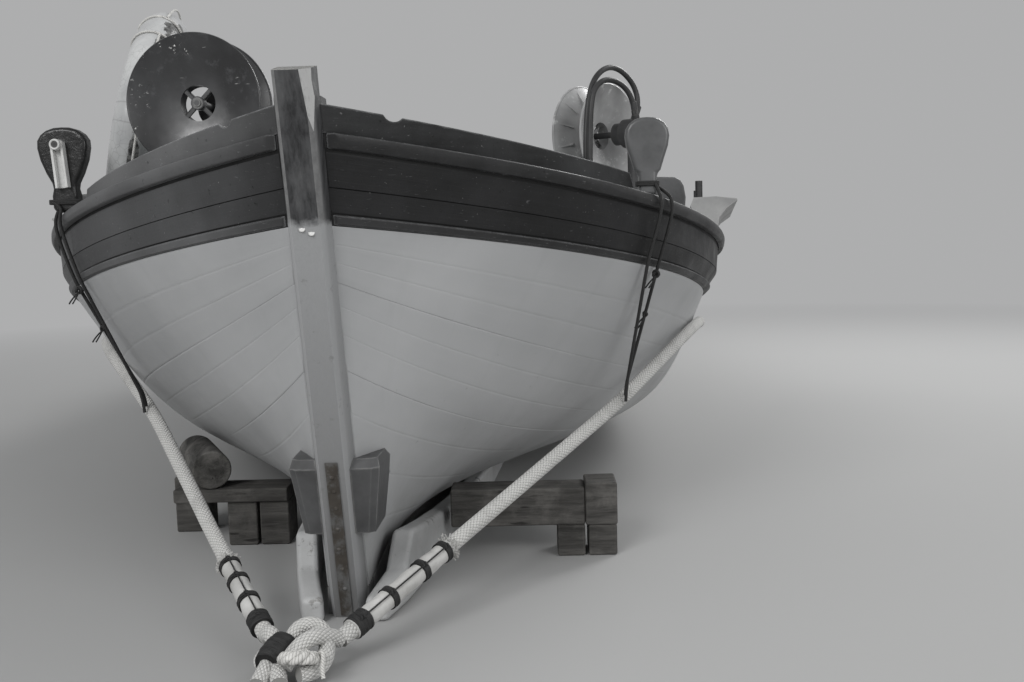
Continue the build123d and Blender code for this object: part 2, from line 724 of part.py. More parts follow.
def dish(sign):
    outer = [(r, 0, sign * a) for a, r in DISH]
    inner = [(r, 0, sign * (a - PLATE)) for a, r in DISH]
    rim = Line(outer[-1], inner[-1])
    eye = Line(inner[0], outer[0])
    plate = revolve(make_face(Wire([Spline(*outer), rim, Spline(*reversed(inner)), eye])), Axis.Z)
    plate += Pos(0, 0, sign * (DISH[-1][0] - PLATE / 2)) * Torus(WHEEL_RIM, BEAD)
    low, high = DISH[2], DISH[4]
    corners = [(low[1], low[0] - 4), (high[1], high[0] - 4), (high[1], high[0] - PLATE - 1),
               (low[1] + 8, low[0] - PLATE - RIB_HIGH), (low[1], low[0] - PLATE - RIB_HIGH + 2)]
    for k in range(RIBS):
        face = make_face(Polyline(*[(r, -RIB_THICK / 2, sign * a) for r, a in corners], close=True))
        plate += Rot(0, 0, k * 360 / RIBS) * extrude(face, amount=RIB_THICK, dir=(0, 1, 0))
    return plate


def wheel_and_stand(x, y, z, turn, foot):
    # built along +Z, then laid level: +Z becomes the axle, pointing from the spokes to the motor
    throat = Cylinder(WHEEL_EYE + 6, 2 * THROAT) - Cylinder(WHEEL_EYE, 2 * THROAT + 2)
    hub = Pos(0, 0, SPOKES_AT) * (Cylinder(19, 26) - Cylinder(11.6, 30))
    wheel = dish(1) + dish(-1) + throat + hub
    for k in range(4):
        wheel += Rot(0, 0, 45 + 90 * k) * Pos(34, 0, SPOKES_AT) * Box(36, 12, 9)
    axle = Pos(0, 0, 69) * Cylinder(11, 202)
    flange = Pos(0, 0, 112) * Cylinder(40, 40)
    motor = Pos(0, 0, 170) * Cylinder(52, 80)
    lay = Pos(x, y, z) * Rot(0, 0, -turn) * Rot(-90, 0, 0)
    centre = (lay * Pos(0, 0, 170)).position
    post = Pos(centre.X, centre.Y, (centre.Z + foot) / 2 - 12) * Cylinder(27, centre.Z - foot - 24)
    return lay * wheel, lay * (axle + flange + motor) + post, centre


FORE_WHEEL = (-435.0, 408.0, 1342.0, 2.0)
AFT_WHEEL = (742.0, 1430.0, 1300.0, 128.0)


def deck_patch(x0, x1, y0, y1, up):
    # a plate lying on the sloping deck, or the space below it when up is negative
    corners = [(x0, y0, deck_z(y0)), (x1, y0, deck_z(y0)), (x1, y1, deck_z(y1)), (x0, y1, deck_z(y1))]
    return extrude(make_face(Polyline(*corners, close=True)), amount=abs(up), dir=(0, 0, 1 if up > 0 else -1))


# Two hydraulic hoses rise in arches from the port motor and drop to the half deck.
# Points: distance along the axle, level distance across it, height above it.
HOSE = 10.0
GLAND = 14.0
HOSES = {
    "outer": [(150.0, 36.0, 59.5), (150.0, 66.0, 109.1), (138.0, 52.0, 182.0), (124.0, -15.0, 232.0),
              (117.0, -95.0, 235.0), (113.0, -170.0, 185.0), (112.0, -207.0, 109.0), (112.0, -224.0, 4.0),
              (112.0, -228.0, -100.0), (112.0, -222.0, -205.0), (112.0, -217.0, -300.0), (112.0, -215.0, -394.8)],
    "inner": [(185.0, -16.5, 63.9), (185.0, -31.5, 122.0), (168.0, -76.0, 172.0), (156.0, -157.0, 184.0),
              (148.0, -221.0, 148.0), (144.0, -238.0, 76.0), (142.0, -243.0, -17.0), (142.0, -247.0, -120.0),
              (142.0, -249.0, -215.0), (142.0, -246.0, -304.0), (142.0, -246.0, -388.4)],
}


def from_axle(wheel_at, point):
    # a point given from the wheel's centre: along the axle, level across it, and up
    x, y, z, turn = wheel_at
    ux, uy = math.sin(math.radians(turn)), math.cos(math.radians(turn))
    along_axle, across, up = point
    return (x + along_axle * ux - across * uy, y + along_axle * uy + across * ux, z + up)


for name, at in (("starboard", FORE_WHEEL), ("port", AFT_WHEEL)):
    wheel, stand, motor = wheel_and_stand(*at, deck_z(at[1] + 120) - 60)
    stand += deck_patch(motor.X - 78, motor.X + 78, motor.Y - 78, motor.Y + 78, 12)
    stand -= deck_patch(motor.X - 300, motor.X + 300, motor.Y - 300, motor.Y + 300, -400)
    if name == "port":
        for points in HOSES.values():
            tip = Vector(*from_axle(at, points[0]))
            core = Vector(*from_axle(at, (points[0][0], 0.0, 0.0)))
            way = (tip - core).normalized()
            stand += extrude(Plane(origin=core + way * 40.0, z_dir=way) * Circle(GLAND), (tip - core).length - 40.3)
    save(wheel, f"hauler_wheel_{name}")
    save(stand.solid(), f"hauler_stand_{name}")
    print(name, "motor", [round(v) for v in motor], "solids", len(wheel.solids()), len(stand.solids()))


# Rowlock chocks and thole pins on both gunwales
PIN_RADIUS = 13.0
PIN_FREE = 73.0
PIN_TENON = 10.0
CHOCK_Y0 = 1180.0
CHOCK_Y1 = 1640.0
# outboard distance from the inner foot, height above the sheer
CHOCK = [(0, 2.6), (62, 2.6), (72, 62), (100, 94), (136, 119), (134, 125), (60, 134), (-18, 132), (-30, 104),
         (-8, 48)]
PIN_IN = 4.0
chock_a = line_at("sheer", (CHOCK_Y0, 0.0))
chock_b = line_at("sheer", (CHOCK_Y1, 0.0))
chock_dx = chock_b[0] - chock_a[0]
chock_dz = chock_b[1] - chock_a[1]
pads, all_pins = [], []
for side_name, side in SIDES.items():
    foot_x = chock_a[0] - 66.0
    face = make_face(Polyline(*[(side * (foot_x + x), CHOCK_Y0, chock_a[1] + h) for x, h in CHOCK], close=True))
    run = Vector(side * chock_dx, CHOCK_Y1 - CHOCK_Y0, chock_dz)
    pad = extrude(face, amount=run.length, dir=run)
    pins = []
    for share in (0.25, 0.75):
        pin_x = side * (foot_x + PIN_IN + share * chock_dx)
        pin_y = CHOCK_Y0 + share * (CHOCK_Y1 - CHOCK_Y0)
        seat = chock_a[1] + share * chock_dz + 135.4
        pin = Pos(pin_x, pin_y, seat + PIN_FREE / 2) * Cylinder(PIN_RADIUS, PIN_FREE)
        tenon = Pos(pin_x, pin_y, seat - 25.0) * Cylinder(PIN_TENON, 50.0)
        print("thole pin", round(pin_x, 1), round(pin_y, 1), "foot", round(seat, 1))
        pad = pad - tenon
        pins.append(pin + tenon)
    pads.append(pad.solid())
    all_pins += [pin.solid() for pin in pins]
save(Compound(pads), "rowlock_chocks")
save(Compound(all_pins), "thole_pins")

# Round-cornered blocks stand on the gunwales between the horns and the rowlocks
BLOCK_Y = 760.0
rail_blocks = []
for side_name, side in SIDES.items():
    bx, bz = line_at("sheer", (BLOCK_Y - 30, 0.0))
    foot = bz + 0.9
    edge_x = bx - PLANK - 10.0
    ring = [(edge_x - 90, foot), (edge_x, foot), (edge_x + 4, foot + 52), (edge_x - 2, foot + 88),
            (edge_x - 12, foot + 106), (edge_x - 30, foot + 116), (edge_x - 90, foot + 118)]
    rail_blocks.append(front_prism([(side * x, z) for x, z in ring], BLOCK_Y - 30, BLOCK_Y + 30).solid())
save(Compound(rail_blocks), "rail_blocks")

# Lifebuoy: stands on the half deck, leaning on the starboard side
BUOY_RING = 306.0
BUOY_TUBE = 66.0
BUOY_X = -738.0
BUOY_Y = 860.0
BUOY_LEAN = 13.5
BUOY_TURN = 12.0
buoy_place = Rot(0, 0, BUOY_TURN) * Rot(0, BUOY_LEAN, 0) * Rot(0, 90, 0)
low = 0.0
for i in range(0, 361, 2):
    for j in range(0, 360, 10):
        a, b = math.radians(i), math.radians(j)
        r = BUOY_RING + BUOY_TUBE * math.cos(b)
        p = (buoy_place * Pos(r * math.cos(a), r * math.sin(a), BUOY_TUBE * math.sin(b))).position
        low = min(low, p.Z + DECK_SLOPE * p.Y)
buoy_z = deck_z(BUOY_Y) - low + 0.4
buoy = Pos(BUOY_X, BUOY_Y, buoy_z) * buoy_place * Torus(BUOY_RING, BUOY_TUBE)
print("buoy centre z", round(buoy_z), "top", round(buoy_z - low))
save(buoy, "lifebuoy")

# Timber blocks under the bilges: widths, distances aft and heights of each
PLANK_TOP = 184.0
TIMBERS = [
    (544, 626, 425, 545, 0, 92),
    (636, 720, 425, 545, 0, 92),
    (231, 627.7, 430, 540, 92, 205),
    (628, 722, 422, 548, 92, 219),
    (-485, -392, 618, 740, 0, 141),
    (-384, -292, 618, 740, 0, 141),
    (-650, -290.7, 604, 738, 141, PLANK_TOP),
    (-706, -592, 790, 880, 0, PLANK_TOP),
]
save(Compound([block(*timber).solid() for timber in TIMBERS]), "timber_blocks")

LOG_RADIUS = 60.0
LOG_FRONT = (-522.0, 606.0)
LOG_REAR = (-660.0, 900.0)
run = Vector(LOG_REAR[0] - LOG_FRONT[0], LOG_REAR[1] - LOG_FRONT[1], 0)
face = Plane(origin=(LOG_FRONT[0], LOG_FRONT[1], PLANK_TOP + LOG_RADIUS + 0.3), z_dir=run)
log = extrude(face * Circle(LOG_RADIUS), amount=run.length)
save(log, "bilge_log")

# Hauling bridle: one thick rope from the knot, round the hull and back to the knot
ROPE = 20.0
ROPE_CLEAR = 10.0
KNOT_PORT = (40.0, -372.0, 64.0)
KNOT_STARBOARD = (-136.0, -330.0, 60.0)
LASH_PORT = (738.0, 604.0, 420.0)
LASH_STARBOARD = (-690.0, 604.0, 424.0)


def side_rope(y, below, extra):
    z = plan_at(y, 2.0, 0.0)[1] - below
    best = None
    for i in range(0, 61):
        p = plan_at(y, 2.0 + i / 120, 0.0)
        if best is None or abs(p[1] - z) < abs(best[1] - z):
            best = p
    return best[0] + ROPE + ROPE_CLEAR + extra, best[1]


SIDE_ROPE = [(1200.0, 108.0, 10.0), (1720.0, 110.0, 10.0), (2300.0, 112.0, 7.0), (2950.0, 110.0, 6.0),
             (3600.0, 108.0, 6.0), (4250.0, 108.0, 6.0), (4900.0, 108.0, 6.0), (5500.0, 104.0, 6.0)]
run_port = [side_rope(y, d, e) for y, d, e in SIDE_ROPE]
stern_b = run_port[-1][0] - 66.0
stern_z = run_port[-1][1] + 12.0
stern_y = STERN_Y + TRANSOM_THICK + 0.1 * stern_z + 150.0
KNEE_STARBOARD = (-345.0, 40.0, 168.0)
route = [KNOT_PORT, LASH_PORT]
route += [(b, y, z) for (b, z), (y, d, e) in zip(run_port, SIDE_ROPE)]
route += [(stern_b, stern_y, stern_z), (-stern_b, stern_y, stern_z + 3)]
route += [(-b, y, z) for (b, z), (y, d, e) in reversed(list(zip(run_port, SIDE_ROPE)))]
route += [LASH_STARBOARD, KNEE_STARBOARD, KNOT_STARBOARD]


def arc_radii(points, caps):
    # each arc's radius is 0.45 of the shorter run over the tangent of half the turn
    radii = []
    for i in range(1, len(points) - 1):
        a, b, c = Vector(*points[i - 1]), Vector(*points[i]), Vector(*points[i + 1])
        turn = math.acos(max(-1.0, min(1.0, (b - a).normalized().dot((c - b).normalized()))))
        radii.append(min(caps[i - 1], 0.45 * min((b - a).length, (c - b).length) / math.tan(turn / 2)))
    return radii


def rope(points, radius, caps, name):
    radii = arc_radii(points, caps)
    path = FilletPolyline(*points, radius=radii)
    start = Vector(*points[0])
    plane = Plane(origin=start, z_dir=Vector(*points[1]) - start)
    tube = sweep(plane * Circle(radius), path=path)
    length = path.length
    print(name, "arc radii", [round(r) for r in radii])
    print(name, "volume", round(tube.volume), "section x length", round(math.pi * radius**2 * length))
    return tube


caps = [4000.0] * (len(route) - 2)
caps[0] = 260.0
caps[-2] = 260.0
caps[-1] = 200.0
bridle = rope(route, ROPE, caps, "bridle")
save(bridle, "hauling_bridle")


hoses = []
for name, points in HOSES.items():
    laid = [from_axle(AFT_WHEEL, point) for point in points]
    hoses.append(rope(laid, HOSE, [400.0] * (len(laid) - 2), name + " hose"))
save(Compound([hose.solid() for hose in hoses]), "hoses")


def along(a, b, share):
    return tuple(p + (q - p) * share for p, q in zip(a, b))


def ring_on(a, b, share, length, inner, outer):
    # a ring round the straight run from a to b
    centre = Vector(*along(a, b, share))
    way = (Vector(*b) - Vector(*a)).normalized()
    plane = Plane(origin=centre - way * (length / 2), z_dir=way)
    return extrude(plane * Circle(outer), amount=length) - extrude(plane * Circle(inner), amount=length)


SPLICE = 26.0
SEIZING = 29.0
port_way = Vector(*KNOT_PORT) - Vector(*LASH_PORT)
star_way = Vector(*KNOT_STARBOARD) - Vector(*KNEE_STARBOARD)
splice_port = ring_on(LASH_PORT, KNOT_PORT, 0.83, port_way.length * 0.30, ROPE + 0.3, SPLICE)
splice_star = ring_on(KNEE_STARBOARD, KNOT_STARBOARD, 0.58, star_way.length * 0.70, ROPE + 0.3, SPLICE)
save(Compound([splice_port.solid(), splice_star.solid()]), "bridle_splices")
bands = [ring_on(LASH_PORT, KNOT_PORT, f, 24.0, SPLICE + 0.3, SEIZING) for f in (0.70, 0.77, 0.865, 0.95)]
bands += [ring_on(KNEE_STARBOARD, KNOT_STARBOARD, f, 24.0, SPLICE + 0.3, SEIZING) for f in (0.27, 0.45, 0.66, 0.88)]
save(Compound([band.solid() for band in bands]), "bridle_seizings")

knot = Pos(-52, -446, 43) * Rot(20, 0, 0) * Torus(62, 20)
knot += Pos(-8, -392, 66) * Rot(78, 0, 24) * Torus(45, 19)
knot += Pos(-86, -402, 40) * Rot(0, 74, 20) * Torus(42, 19)
for a, b in ((LASH_PORT, KNOT_PORT), (KNEE_STARBOARD, KNOT_STARBOARD)):
    way = (Vector(*b) - Vector(*a)).normalized()
    plane = Plane(origin=Vector(*b) - way * 200, z_dir=way)
    knot = knot - extrude(plane * Circle(SPLICE + 0.3), amount=200.3)
knot = knot - block(-400, 400, -900, 0, -200, 0.5)
pieces = sorted(knot.solids(), key=lambda s: -s.volume)
print("knot", [round(p.volume) for p in pieces])
save(pieces[0], "bridle_knot")

# Thin doubled cords hang the bridle from the horns, one before and one behind each horn
CORD = 5.0
CORD_CLEAR = 8.0
LASH_UP = 18.0
MOULD_OUT = 26.0
TURN_DEPTH = 33.0
TURN_INNER = HORN_THICK / 2 + 0.4
# each side: height of the turns above the horn's foot, the horn's half width there
TURNS = {"port": (34.0, 26.0), "starboard": (30.0, 38.0)}
lashings = []
for side_name, side in SIDES.items():
    lash = LASH_PORT if side > 0 else LASH_STARBOARD
    above, half = TURNS[side_name]
    neck = horn_foot + above
    turns = block(-half - 11, half + 11, HORN_Y - TURN_DEPTH, HORN_Y + TURN_DEPTH, neck - 7, neck + 7)
    turns -= block(-half - 1, half + 1, HORN_Y - TURN_INNER, HORN_Y + TURN_INNER, neck - 8, neck + 8)
    centre = HORN_X[side_name]
    whole = Pos(side * centre, 0, 0) * turns
    lash_x = abs(lash[0])
    for share in (-1.0, 1.0):
        y = HORN_Y + 28.5 * share
        sheer_z = line_at("sheer", (y, 0.0))[1]
        rail_b, rail_z = line_at("rail_foot", (y, 0.0))
        mould_b, mould_z = line_at("mould_top", (y, 0.0))
        outer = rail_b + RAIL_OUT + CORD + CORD_CLEAR
        points = [
            (side * (centre + half - 6), y, neck),
            (side * (outer - 10), y, sheer_z + 16.0),
            (side * outer, y, sheer_z - 8.0),
            (side * outer, y, rail_z - 8.0),
            (side * (mould_b + MOULD_OUT), y + 3, mould_z - 14.0),
            (side * (lash_x + 31), lash[1] + 9.0 * share, lash[2] + 60.0),
            (side * (lash_x + 28), lash[1] + 9.0 * share, lash[2] + LASH_UP + 8.0 * share),
        ]
        path = FilletPolyline(*points, radius=arc_radii(points, [30.0] * (len(points) - 2)))
        plane = Plane(origin=Vector(*points[0]), z_dir=Vector(*points[1]) - Vector(*points[0]))
        whole = whole + sweep(plane * Circle(CORD), path=path)
    print("lashing", side_name, [round(s.volume) for s in whole.solids()])
    lashings.append(whole.solid())
save(Compound(lashings), "lashings")
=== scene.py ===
import math
import random

import bmesh
import bpy
from mathutils import Matrix, Vector, noise as value_noise


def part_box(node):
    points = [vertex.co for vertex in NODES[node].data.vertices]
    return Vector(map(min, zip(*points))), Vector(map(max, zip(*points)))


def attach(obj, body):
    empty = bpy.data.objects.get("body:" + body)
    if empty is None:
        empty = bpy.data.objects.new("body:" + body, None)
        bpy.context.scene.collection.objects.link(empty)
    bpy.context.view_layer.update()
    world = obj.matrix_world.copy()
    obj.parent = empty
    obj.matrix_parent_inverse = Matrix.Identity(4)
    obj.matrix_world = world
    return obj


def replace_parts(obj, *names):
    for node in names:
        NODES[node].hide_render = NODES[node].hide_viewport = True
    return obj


# A wooden beach-launched rowing boat seen bow on. Metres, +Z up, bow towards -Y, port +X.
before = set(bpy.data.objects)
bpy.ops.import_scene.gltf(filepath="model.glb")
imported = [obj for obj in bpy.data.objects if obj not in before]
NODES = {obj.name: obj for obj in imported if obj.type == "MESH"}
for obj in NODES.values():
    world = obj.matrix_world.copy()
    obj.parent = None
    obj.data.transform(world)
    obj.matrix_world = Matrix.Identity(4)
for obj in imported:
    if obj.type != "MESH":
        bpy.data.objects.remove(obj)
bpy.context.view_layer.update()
SIDES = {"port": 1, "starboard": -1}

# The camera at the photograph's place
CAMERA_PLACE = (0.491, -2.743, 0.964)
CAMERA_YAW = -1.169
CAMERA_DOWN = 5.793
CAMERA_ROLL = 1.66
CAMERA_LENS = 38.67


def place_camera():
    data = bpy.data.cameras.new("camera")
    data.lens = CAMERA_LENS
    data.sensor_width = 36.0
    data.sensor_fit = "HORIZONTAL"
    data.clip_start = 0.02
    data.clip_end = 300.0
    camera = bpy.data.objects.new("camera", data)
    bpy.context.scene.collection.objects.link(camera)
    yaw, down, roll = (math.radians(v) for v in (CAMERA_YAW, CAMERA_DOWN, CAMERA_ROLL))
    ahead = Vector((math.sin(yaw) * math.cos(down), math.cos(yaw) * math.cos(down), -math.sin(down)))
    right = Vector((math.cos(yaw), -math.sin(yaw), 0.0))
    above = right.cross(ahead)
    across = right * math.cos(roll) - above * math.sin(roll)
    upward = right * math.sin(roll) + above * math.cos(roll)
    rows = Matrix((across, upward, -ahead)).transposed().to_4x4()
    rows.translation = Vector(CAMERA_PLACE)
    camera.matrix_world = rows
    bpy.context.scene.camera = camera


place_camera()
bpy.context.scene.view_settings.view_transform = "Standard"

# Hull form, as in the solids
STEM_RAKE = 0.30
STEM_HALF = 0.051
STERN_Y = 5.900
PLAN_LENGTH = 2.360
SHEER_STEM = 1.181
SHEER_SLOPE = 0.176
SHEER_BEND = 0.0046
SHEER_LOW_AT = 3.400
SHEER_SPLIT = 1.200
SHEER_RISE_AFT = 0.012
TAPER_FROM = 2.500
TAPER_SHEER = 0.27
TAPER_BOTTOM = 0.36
KEEL_DEPTH = 0.070
KEEL_HALF = 0.053
PLANK = 0.022
LINES = {
    "sheer": (1.212, 2.80, 0.0, 0.0),
    "rail_foot": (1.209, 2.86, 0.033, 0.042),
    "mould_top": (1.155, 3.10, 0.174, 0.180),
    "seam": (1.201, 2.96, 0.114, 0.129),
    "paint": (1.147, 3.149, 0.198, 0.204),
}
CORNER_BEAM = 1.130
CORNER_FULL = 1.476
CORNER_LENGTH = 2.520
CORNER_STEM = 0.801
CORNER_LOW = 0.010
CORNER_FALL = 0.972
BILGE_WEIGHT_BOW = 1.495
BILGE_WEIGHT_MID = 1.628
BILGE_LENGTH = 2.160
CORNER_RISE_AFT = 0.090
ROUNDS = 14
LEANS = [
    (0.0004, 0.300), (0.180, 0.290), (0.450, 0.270), (0.850, 0.230), (1.400, 0.170), (2.100, 0.100),
    (2.900, 0.040), (3.700, 0.000), (4.500, -0.030), (5.200, -0.065), (5.8996, -0.100),
]


def sheer(t):
    first = min(t, SHEER_SPLIT)
    height = SHEER_STEM - SHEER_SLOPE * first + SHEER_BEND * first * first
    slope = SHEER_SLOPE - 2 * SHEER_BEND * SHEER_SPLIT
    span = SHEER_LOW_AT - SHEER_SPLIT
    if t > SHEER_SPLIT:
        u = min(t, SHEER_LOW_AT) - SHEER_SPLIT
        height += -slope * u + slope / (2 * span) * u * u
    if t > SHEER_LOW_AT:
        height += SHEER_RISE_AFT * (t - SHEER_LOW_AT) ** 2
    return height


def taper(y, share):
    if y <= TAPER_FROM:
        return 1.0
    return 1.0 - share * ((y - TAPER_FROM) / (STERN_Y - TAPER_FROM)) ** 2


def plan(t, beam, full, length):
    x = max(0.0, 1.0 - max(t, 0.0) / length)
    return STEM_HALF + (beam - STEM_HALF) * (1.0 - x**full)


def line_height(t, low, high):
    # height of a hull line that lies low under the sheer at the bow and high further aft
    return sheer(max(t, 0.0)) - low - (high - low) * min(max(t, 0.0) / SHEER_SPLIT, 1.0)


def lean_at(base):
    for (b0, l0), (b1, l1) in zip(LEANS, LEANS[1:]):
        if base <= b1:
            return l0 + (l1 - l0) * max(base - b0, 0.0) / (b1 - b0)
    return LEANS[-1][1]


class Station:
    """A leaning cross-section of the hull, given by its distance aft at ground level."""

    def __init__(self, base):
        self.base = base
        self.lean = lean_at(base)
        self.rows = [self.line(name) for name in ("sheer", "seam", "paint")]
        self.corner = self.find_corner()

    def line(self, name):
        beam, full, low, high = LINES[name]
        start = SHEER_STEM - low
        z = start
        for _ in range(ROUNDS):
            y = self.base - self.lean * z
            t = y + STEM_RAKE * start
            z = line_height(t, low, high)
        return plan(t, beam, full, PLAN_LENGTH) * taper(y, TAPER_SHEER), z

    def find_corner(self):
        z = CORNER_STEM
        for _ in range(ROUNDS):
            y = self.base - self.lean * z
            t = y + STEM_RAKE * CORNER_STEM
            z = CORNER_LOW + (CORNER_STEM - CORNER_LOW) * math.exp(-max(t, 0.0) / CORNER_FALL)
            if y > TAPER_FROM:
                z += CORNER_RISE_AFT * ((y - TAPER_FROM) / (STERN_Y - TAPER_FROM)) ** 2
        b = plan(t, CORNER_BEAM, CORNER_FULL, CORNER_LENGTH) * taper(y, TAPER_BOTTOM)
        rise = BILGE_WEIGHT_MID - BILGE_WEIGHT_BOW
        return b, z, BILGE_WEIGHT_BOW + rise * min(max(t, 0) / BILGE_LENGTH, 1.0)

    def skin(self, g):
        # 0 sheer, 1 seam between the dark planks, 2 paint line, 3 keel
        if g <= 2.0:
            i = min(int(g), 1)
            a, b = self.rows[i], self.rows[i + 1]
            return a[0] + (b[0] - a[0]) * (g - i), a[1] + (b[1] - a[1]) * (g - i)
        s = g - 2.0
        (b0, z0), (b1, z1, w) = self.rows[2], self.corner
        k0, k1, k2 = (1 - s) ** 2, 2 * w * s * (1 - s), s * s
        total = k0 + k1 + k2
        z2 = KEEL_DEPTH + 0.001
        return (k0 * b0 + k1 * b1 + k2 * KEEL_HALF) / total, (k0 * z0 + k1 * z1 + k2 * z2) / total

    def place(self, g, depth, side):
        # a point on the skin, or set in from it by depth along the normal in the section
        lo, hi = max(g - 0.02, 0.0), min(g + 0.02, 3.0)
        a, b = self.skin(lo), self.skin(hi)
        run = math.hypot(b[0] - a[0], b[1] - a[1])
        nx, nz = (b[1] - a[1]) / run, -(b[0] - a[0]) / run
        x, z = self.skin(g)
        x, z = x + nx * depth, z + nz * depth
        return Vector((side * x, self.base - self.lean * z, z))


def spaced(first, last, count):
    return [first + (last - first) * i / (count - 1) for i in range(count)]


STATION_BASES = spaced(0.0004, 0.60, 34)[:-1] + spaced(0.60, 2.4, 60)[:-1] + spaced(2.4, 5.8996, 60)
STATIONS = [Station(base) for base in STATION_BASES]


def surface_at(y, g, side, depth=0.0):
    # a point of the skin at the true distance aft y
    base = y
    for _ in range(12):
        station = Station(max(base, 0.0004))
        point = station.place(g, depth, side)
        base = base + (y - point.y)
    return point


# The hauling bridle: one thick braided rope from the knot, round the hull and back
ROPE = 0.020
ROPE_CLEAR = 0.010
KNOT_PORT = (0.040, -0.372, 0.064)
KNOT_STARBOARD = (-0.136, -0.330, 0.060)
LASH_PORT = (0.738, 0.604, 0.420)
LASH_STARBOARD = (-0.690, 0.604, 0.424)
KNEE_STARBOARD = (-0.345, 0.040, 0.168)
# Along the side: distance aft, depth below the paint line, and extra clearance
SIDE_ROPE = [
    (1.200, 0.108, 0.010), (1.720, 0.110, 0.010), (2.300, 0.112, 0.007), (2.950, 0.110, 0.006),
    (3.600, 0.108, 0.006), (4.250, 0.108, 0.006), (4.900, 0.108, 0.006), (5.500, 0.104, 0.006),
]
TRANSOM_THICK = 0.036
TRANSOM_RAKE = 0.10
STERN_IN = 0.066
STERN_UP = 0.012
STERN_BEHIND = 0.150
STERN_LIFT = 0.003
LASH_BEND = 0.24
KNEE_BEND = 0.20


def side_rope(y, below, extra):
    # a point beside the hull, this far below the paint line
    target = surface_at(y, 2.0, 1).z - below
    tries = (surface_at(y, 2.0 + i / 60, 1) for i in range(31))
    best = min(tries, key=lambda p: abs(p.z - target))
    return best.x + ROPE + ROPE_CLEAR + extra, y, best.z


def toward(a, b, reach):
    # the point this far from a on the way to b
    a, b = Vector(a), Vector(b)
    return tuple(a + (b - a).normalized() * reach)


def bridle_route():
    port_side = [side_rope(*row) for row in SIDE_ROPE]
    other_side = [(-x, y, z) for x, y, z in reversed(port_side)]
    x, z = port_side[-1][0] - STERN_IN, port_side[-1][2] + STERN_UP
    y = STERN_Y + TRANSOM_THICK + TRANSOM_RAKE * z + STERN_BEHIND
    return [
        KNOT_PORT,
        toward(LASH_PORT, KNOT_PORT, LASH_BEND),
        LASH_PORT,
        toward(LASH_PORT, port_side[0], LASH_BEND),
        *port_side,
        (x, y, z),
        (-x, y, z + STERN_LIFT),
        *other_side,
        toward(LASH_STARBOARD, other_side[-1], LASH_BEND),
        LASH_STARBOARD,
        toward(LASH_STARBOARD, KNEE_STARBOARD, LASH_BEND),
        toward(KNEE_STARBOARD, LASH_STARBOARD, KNEE_BEND),
        KNEE_STARBOARD,
        KNOT_STARBOARD,
    ]


def spline_points(points, name, step):
    # the smooth line that a NURBS curve through these control points follows
    curve = bpy.data.curves.new(name, "CURVE")
    curve.dimensions = "3D"
    curve.resolution_u = step
    spline = curve.splines.new("NURBS")
    spline.points.add(len(points) - 1)
    for point, where in zip(spline.points, points):
        point.co = (*where, 1.0)
    spline.order_u = 3
    spline.use_endpoint_u = True
    holder = bpy.data.objects.new(name, curve)
    bpy.context.scene.collection.objects.link(holder)
    bpy.context.view_layer.update()
    solid = holder.evaluated_get(bpy.context.evaluated_depsgraph_get())
    mesh = bpy.data.meshes.new_from_object(solid)
    line = [v.co.copy() for v in mesh.vertices]
    bpy.data.objects.remove(holder)
    bpy.data.meshes.remove(mesh)
    bpy.data.curves.remove(curve)
    return line


def resampled(line, step):
    # the same line with points an even distance apart
    out, left = [line[0]], step
    for a, b in zip(line, line[1:]):
        run = (b - a).length
        way = (b - a) / run if run > 1e-9 else Vector((0, 0, 1))
        at = 0.0
        while run - at >= left:
            at += left
            out.append(a + way * at)
            left = step
        left -= run - at
    out.append(line[-1])
    return out


def tube_mesh(name, line, radius, around, relief=None):
    """A tube along a line, with a frame carried along it; relief(u, v) is added to the radius."""
    rings, lengths = [], [0.0]
    side_way = None
    for i, point in enumerate(line):
        a, b = line[max(i - 1, 0)], line[min(i + 1, len(line) - 1)]
        way = (b - a).normalized()
        if side_way is None:
            side_way = way.cross(Vector((0, 0, 1)))
            if side_way.length < 1e-3:
                side_way = Vector((1, 0, 0))
        side_way = (side_way - way * side_way.dot(way)).normalized()
        other = way.cross(side_way)
        if i:
            lengths.append(lengths[-1] + (point - line[i - 1]).length)
        ring = []
        for j in range(around):
            angle = 2 * math.pi * j / around
            size = radius(lengths[-1]) if callable(radius) else radius
            if relief:
                size += relief(lengths[-1], j / around)
            ring.append(point + (side_way * math.cos(angle) + other * math.sin(angle)) * size)
        rings.append(ring)

    return grid_mesh(name, rings, True, True, lambda i, j: (lengths[i], j / around))


bridle_line = resampled(spline_points(bridle_route(), "bridle_route", 24), 0.010)

# The hoses of the port hauler, from its motor up and over to the deck
# Wheels: x, y and z of the centre, and the turn of the axle in degrees
FORE_WHEEL = (-0.435, 0.408, 1.342, 2.0)
AFT_WHEEL = (0.742, 1.430, 1.300, 128.0)
HOSE = 0.010
# Points from the wheel's centre: along the axle, level across it, and up
HOSES = {
    "outer": [
        (0.150, 0.036, 0.0595), (0.150, 0.066, 0.1091), (0.138, 0.052, 0.182), (0.124, -0.015, 0.232),
        (0.117, -0.095, 0.235), (0.113, -0.170, 0.188), (0.112, -0.207, 0.109), (0.112, -0.224, 0.004),
        (0.112, -0.228, -0.100), (0.112, -0.222, -0.205), (0.112, -0.217, -0.300), (0.112, -0.215, -0.3948),
    ],
    "inner": [
        (0.185, -0.0165, 0.0639), (0.185, -0.0315, 0.122), (0.168, -0.076, 0.172), (0.156, -0.157, 0.184),
        (0.148, -0.221, 0.148), (0.144, -0.238, 0.076), (0.142, -0.243, -0.017), (0.142, -0.247, -0.120),
        (0.142, -0.249, -0.215), (0.142, -0.246, -0.304), (0.142, -0.246, -0.3884),
    ],
}


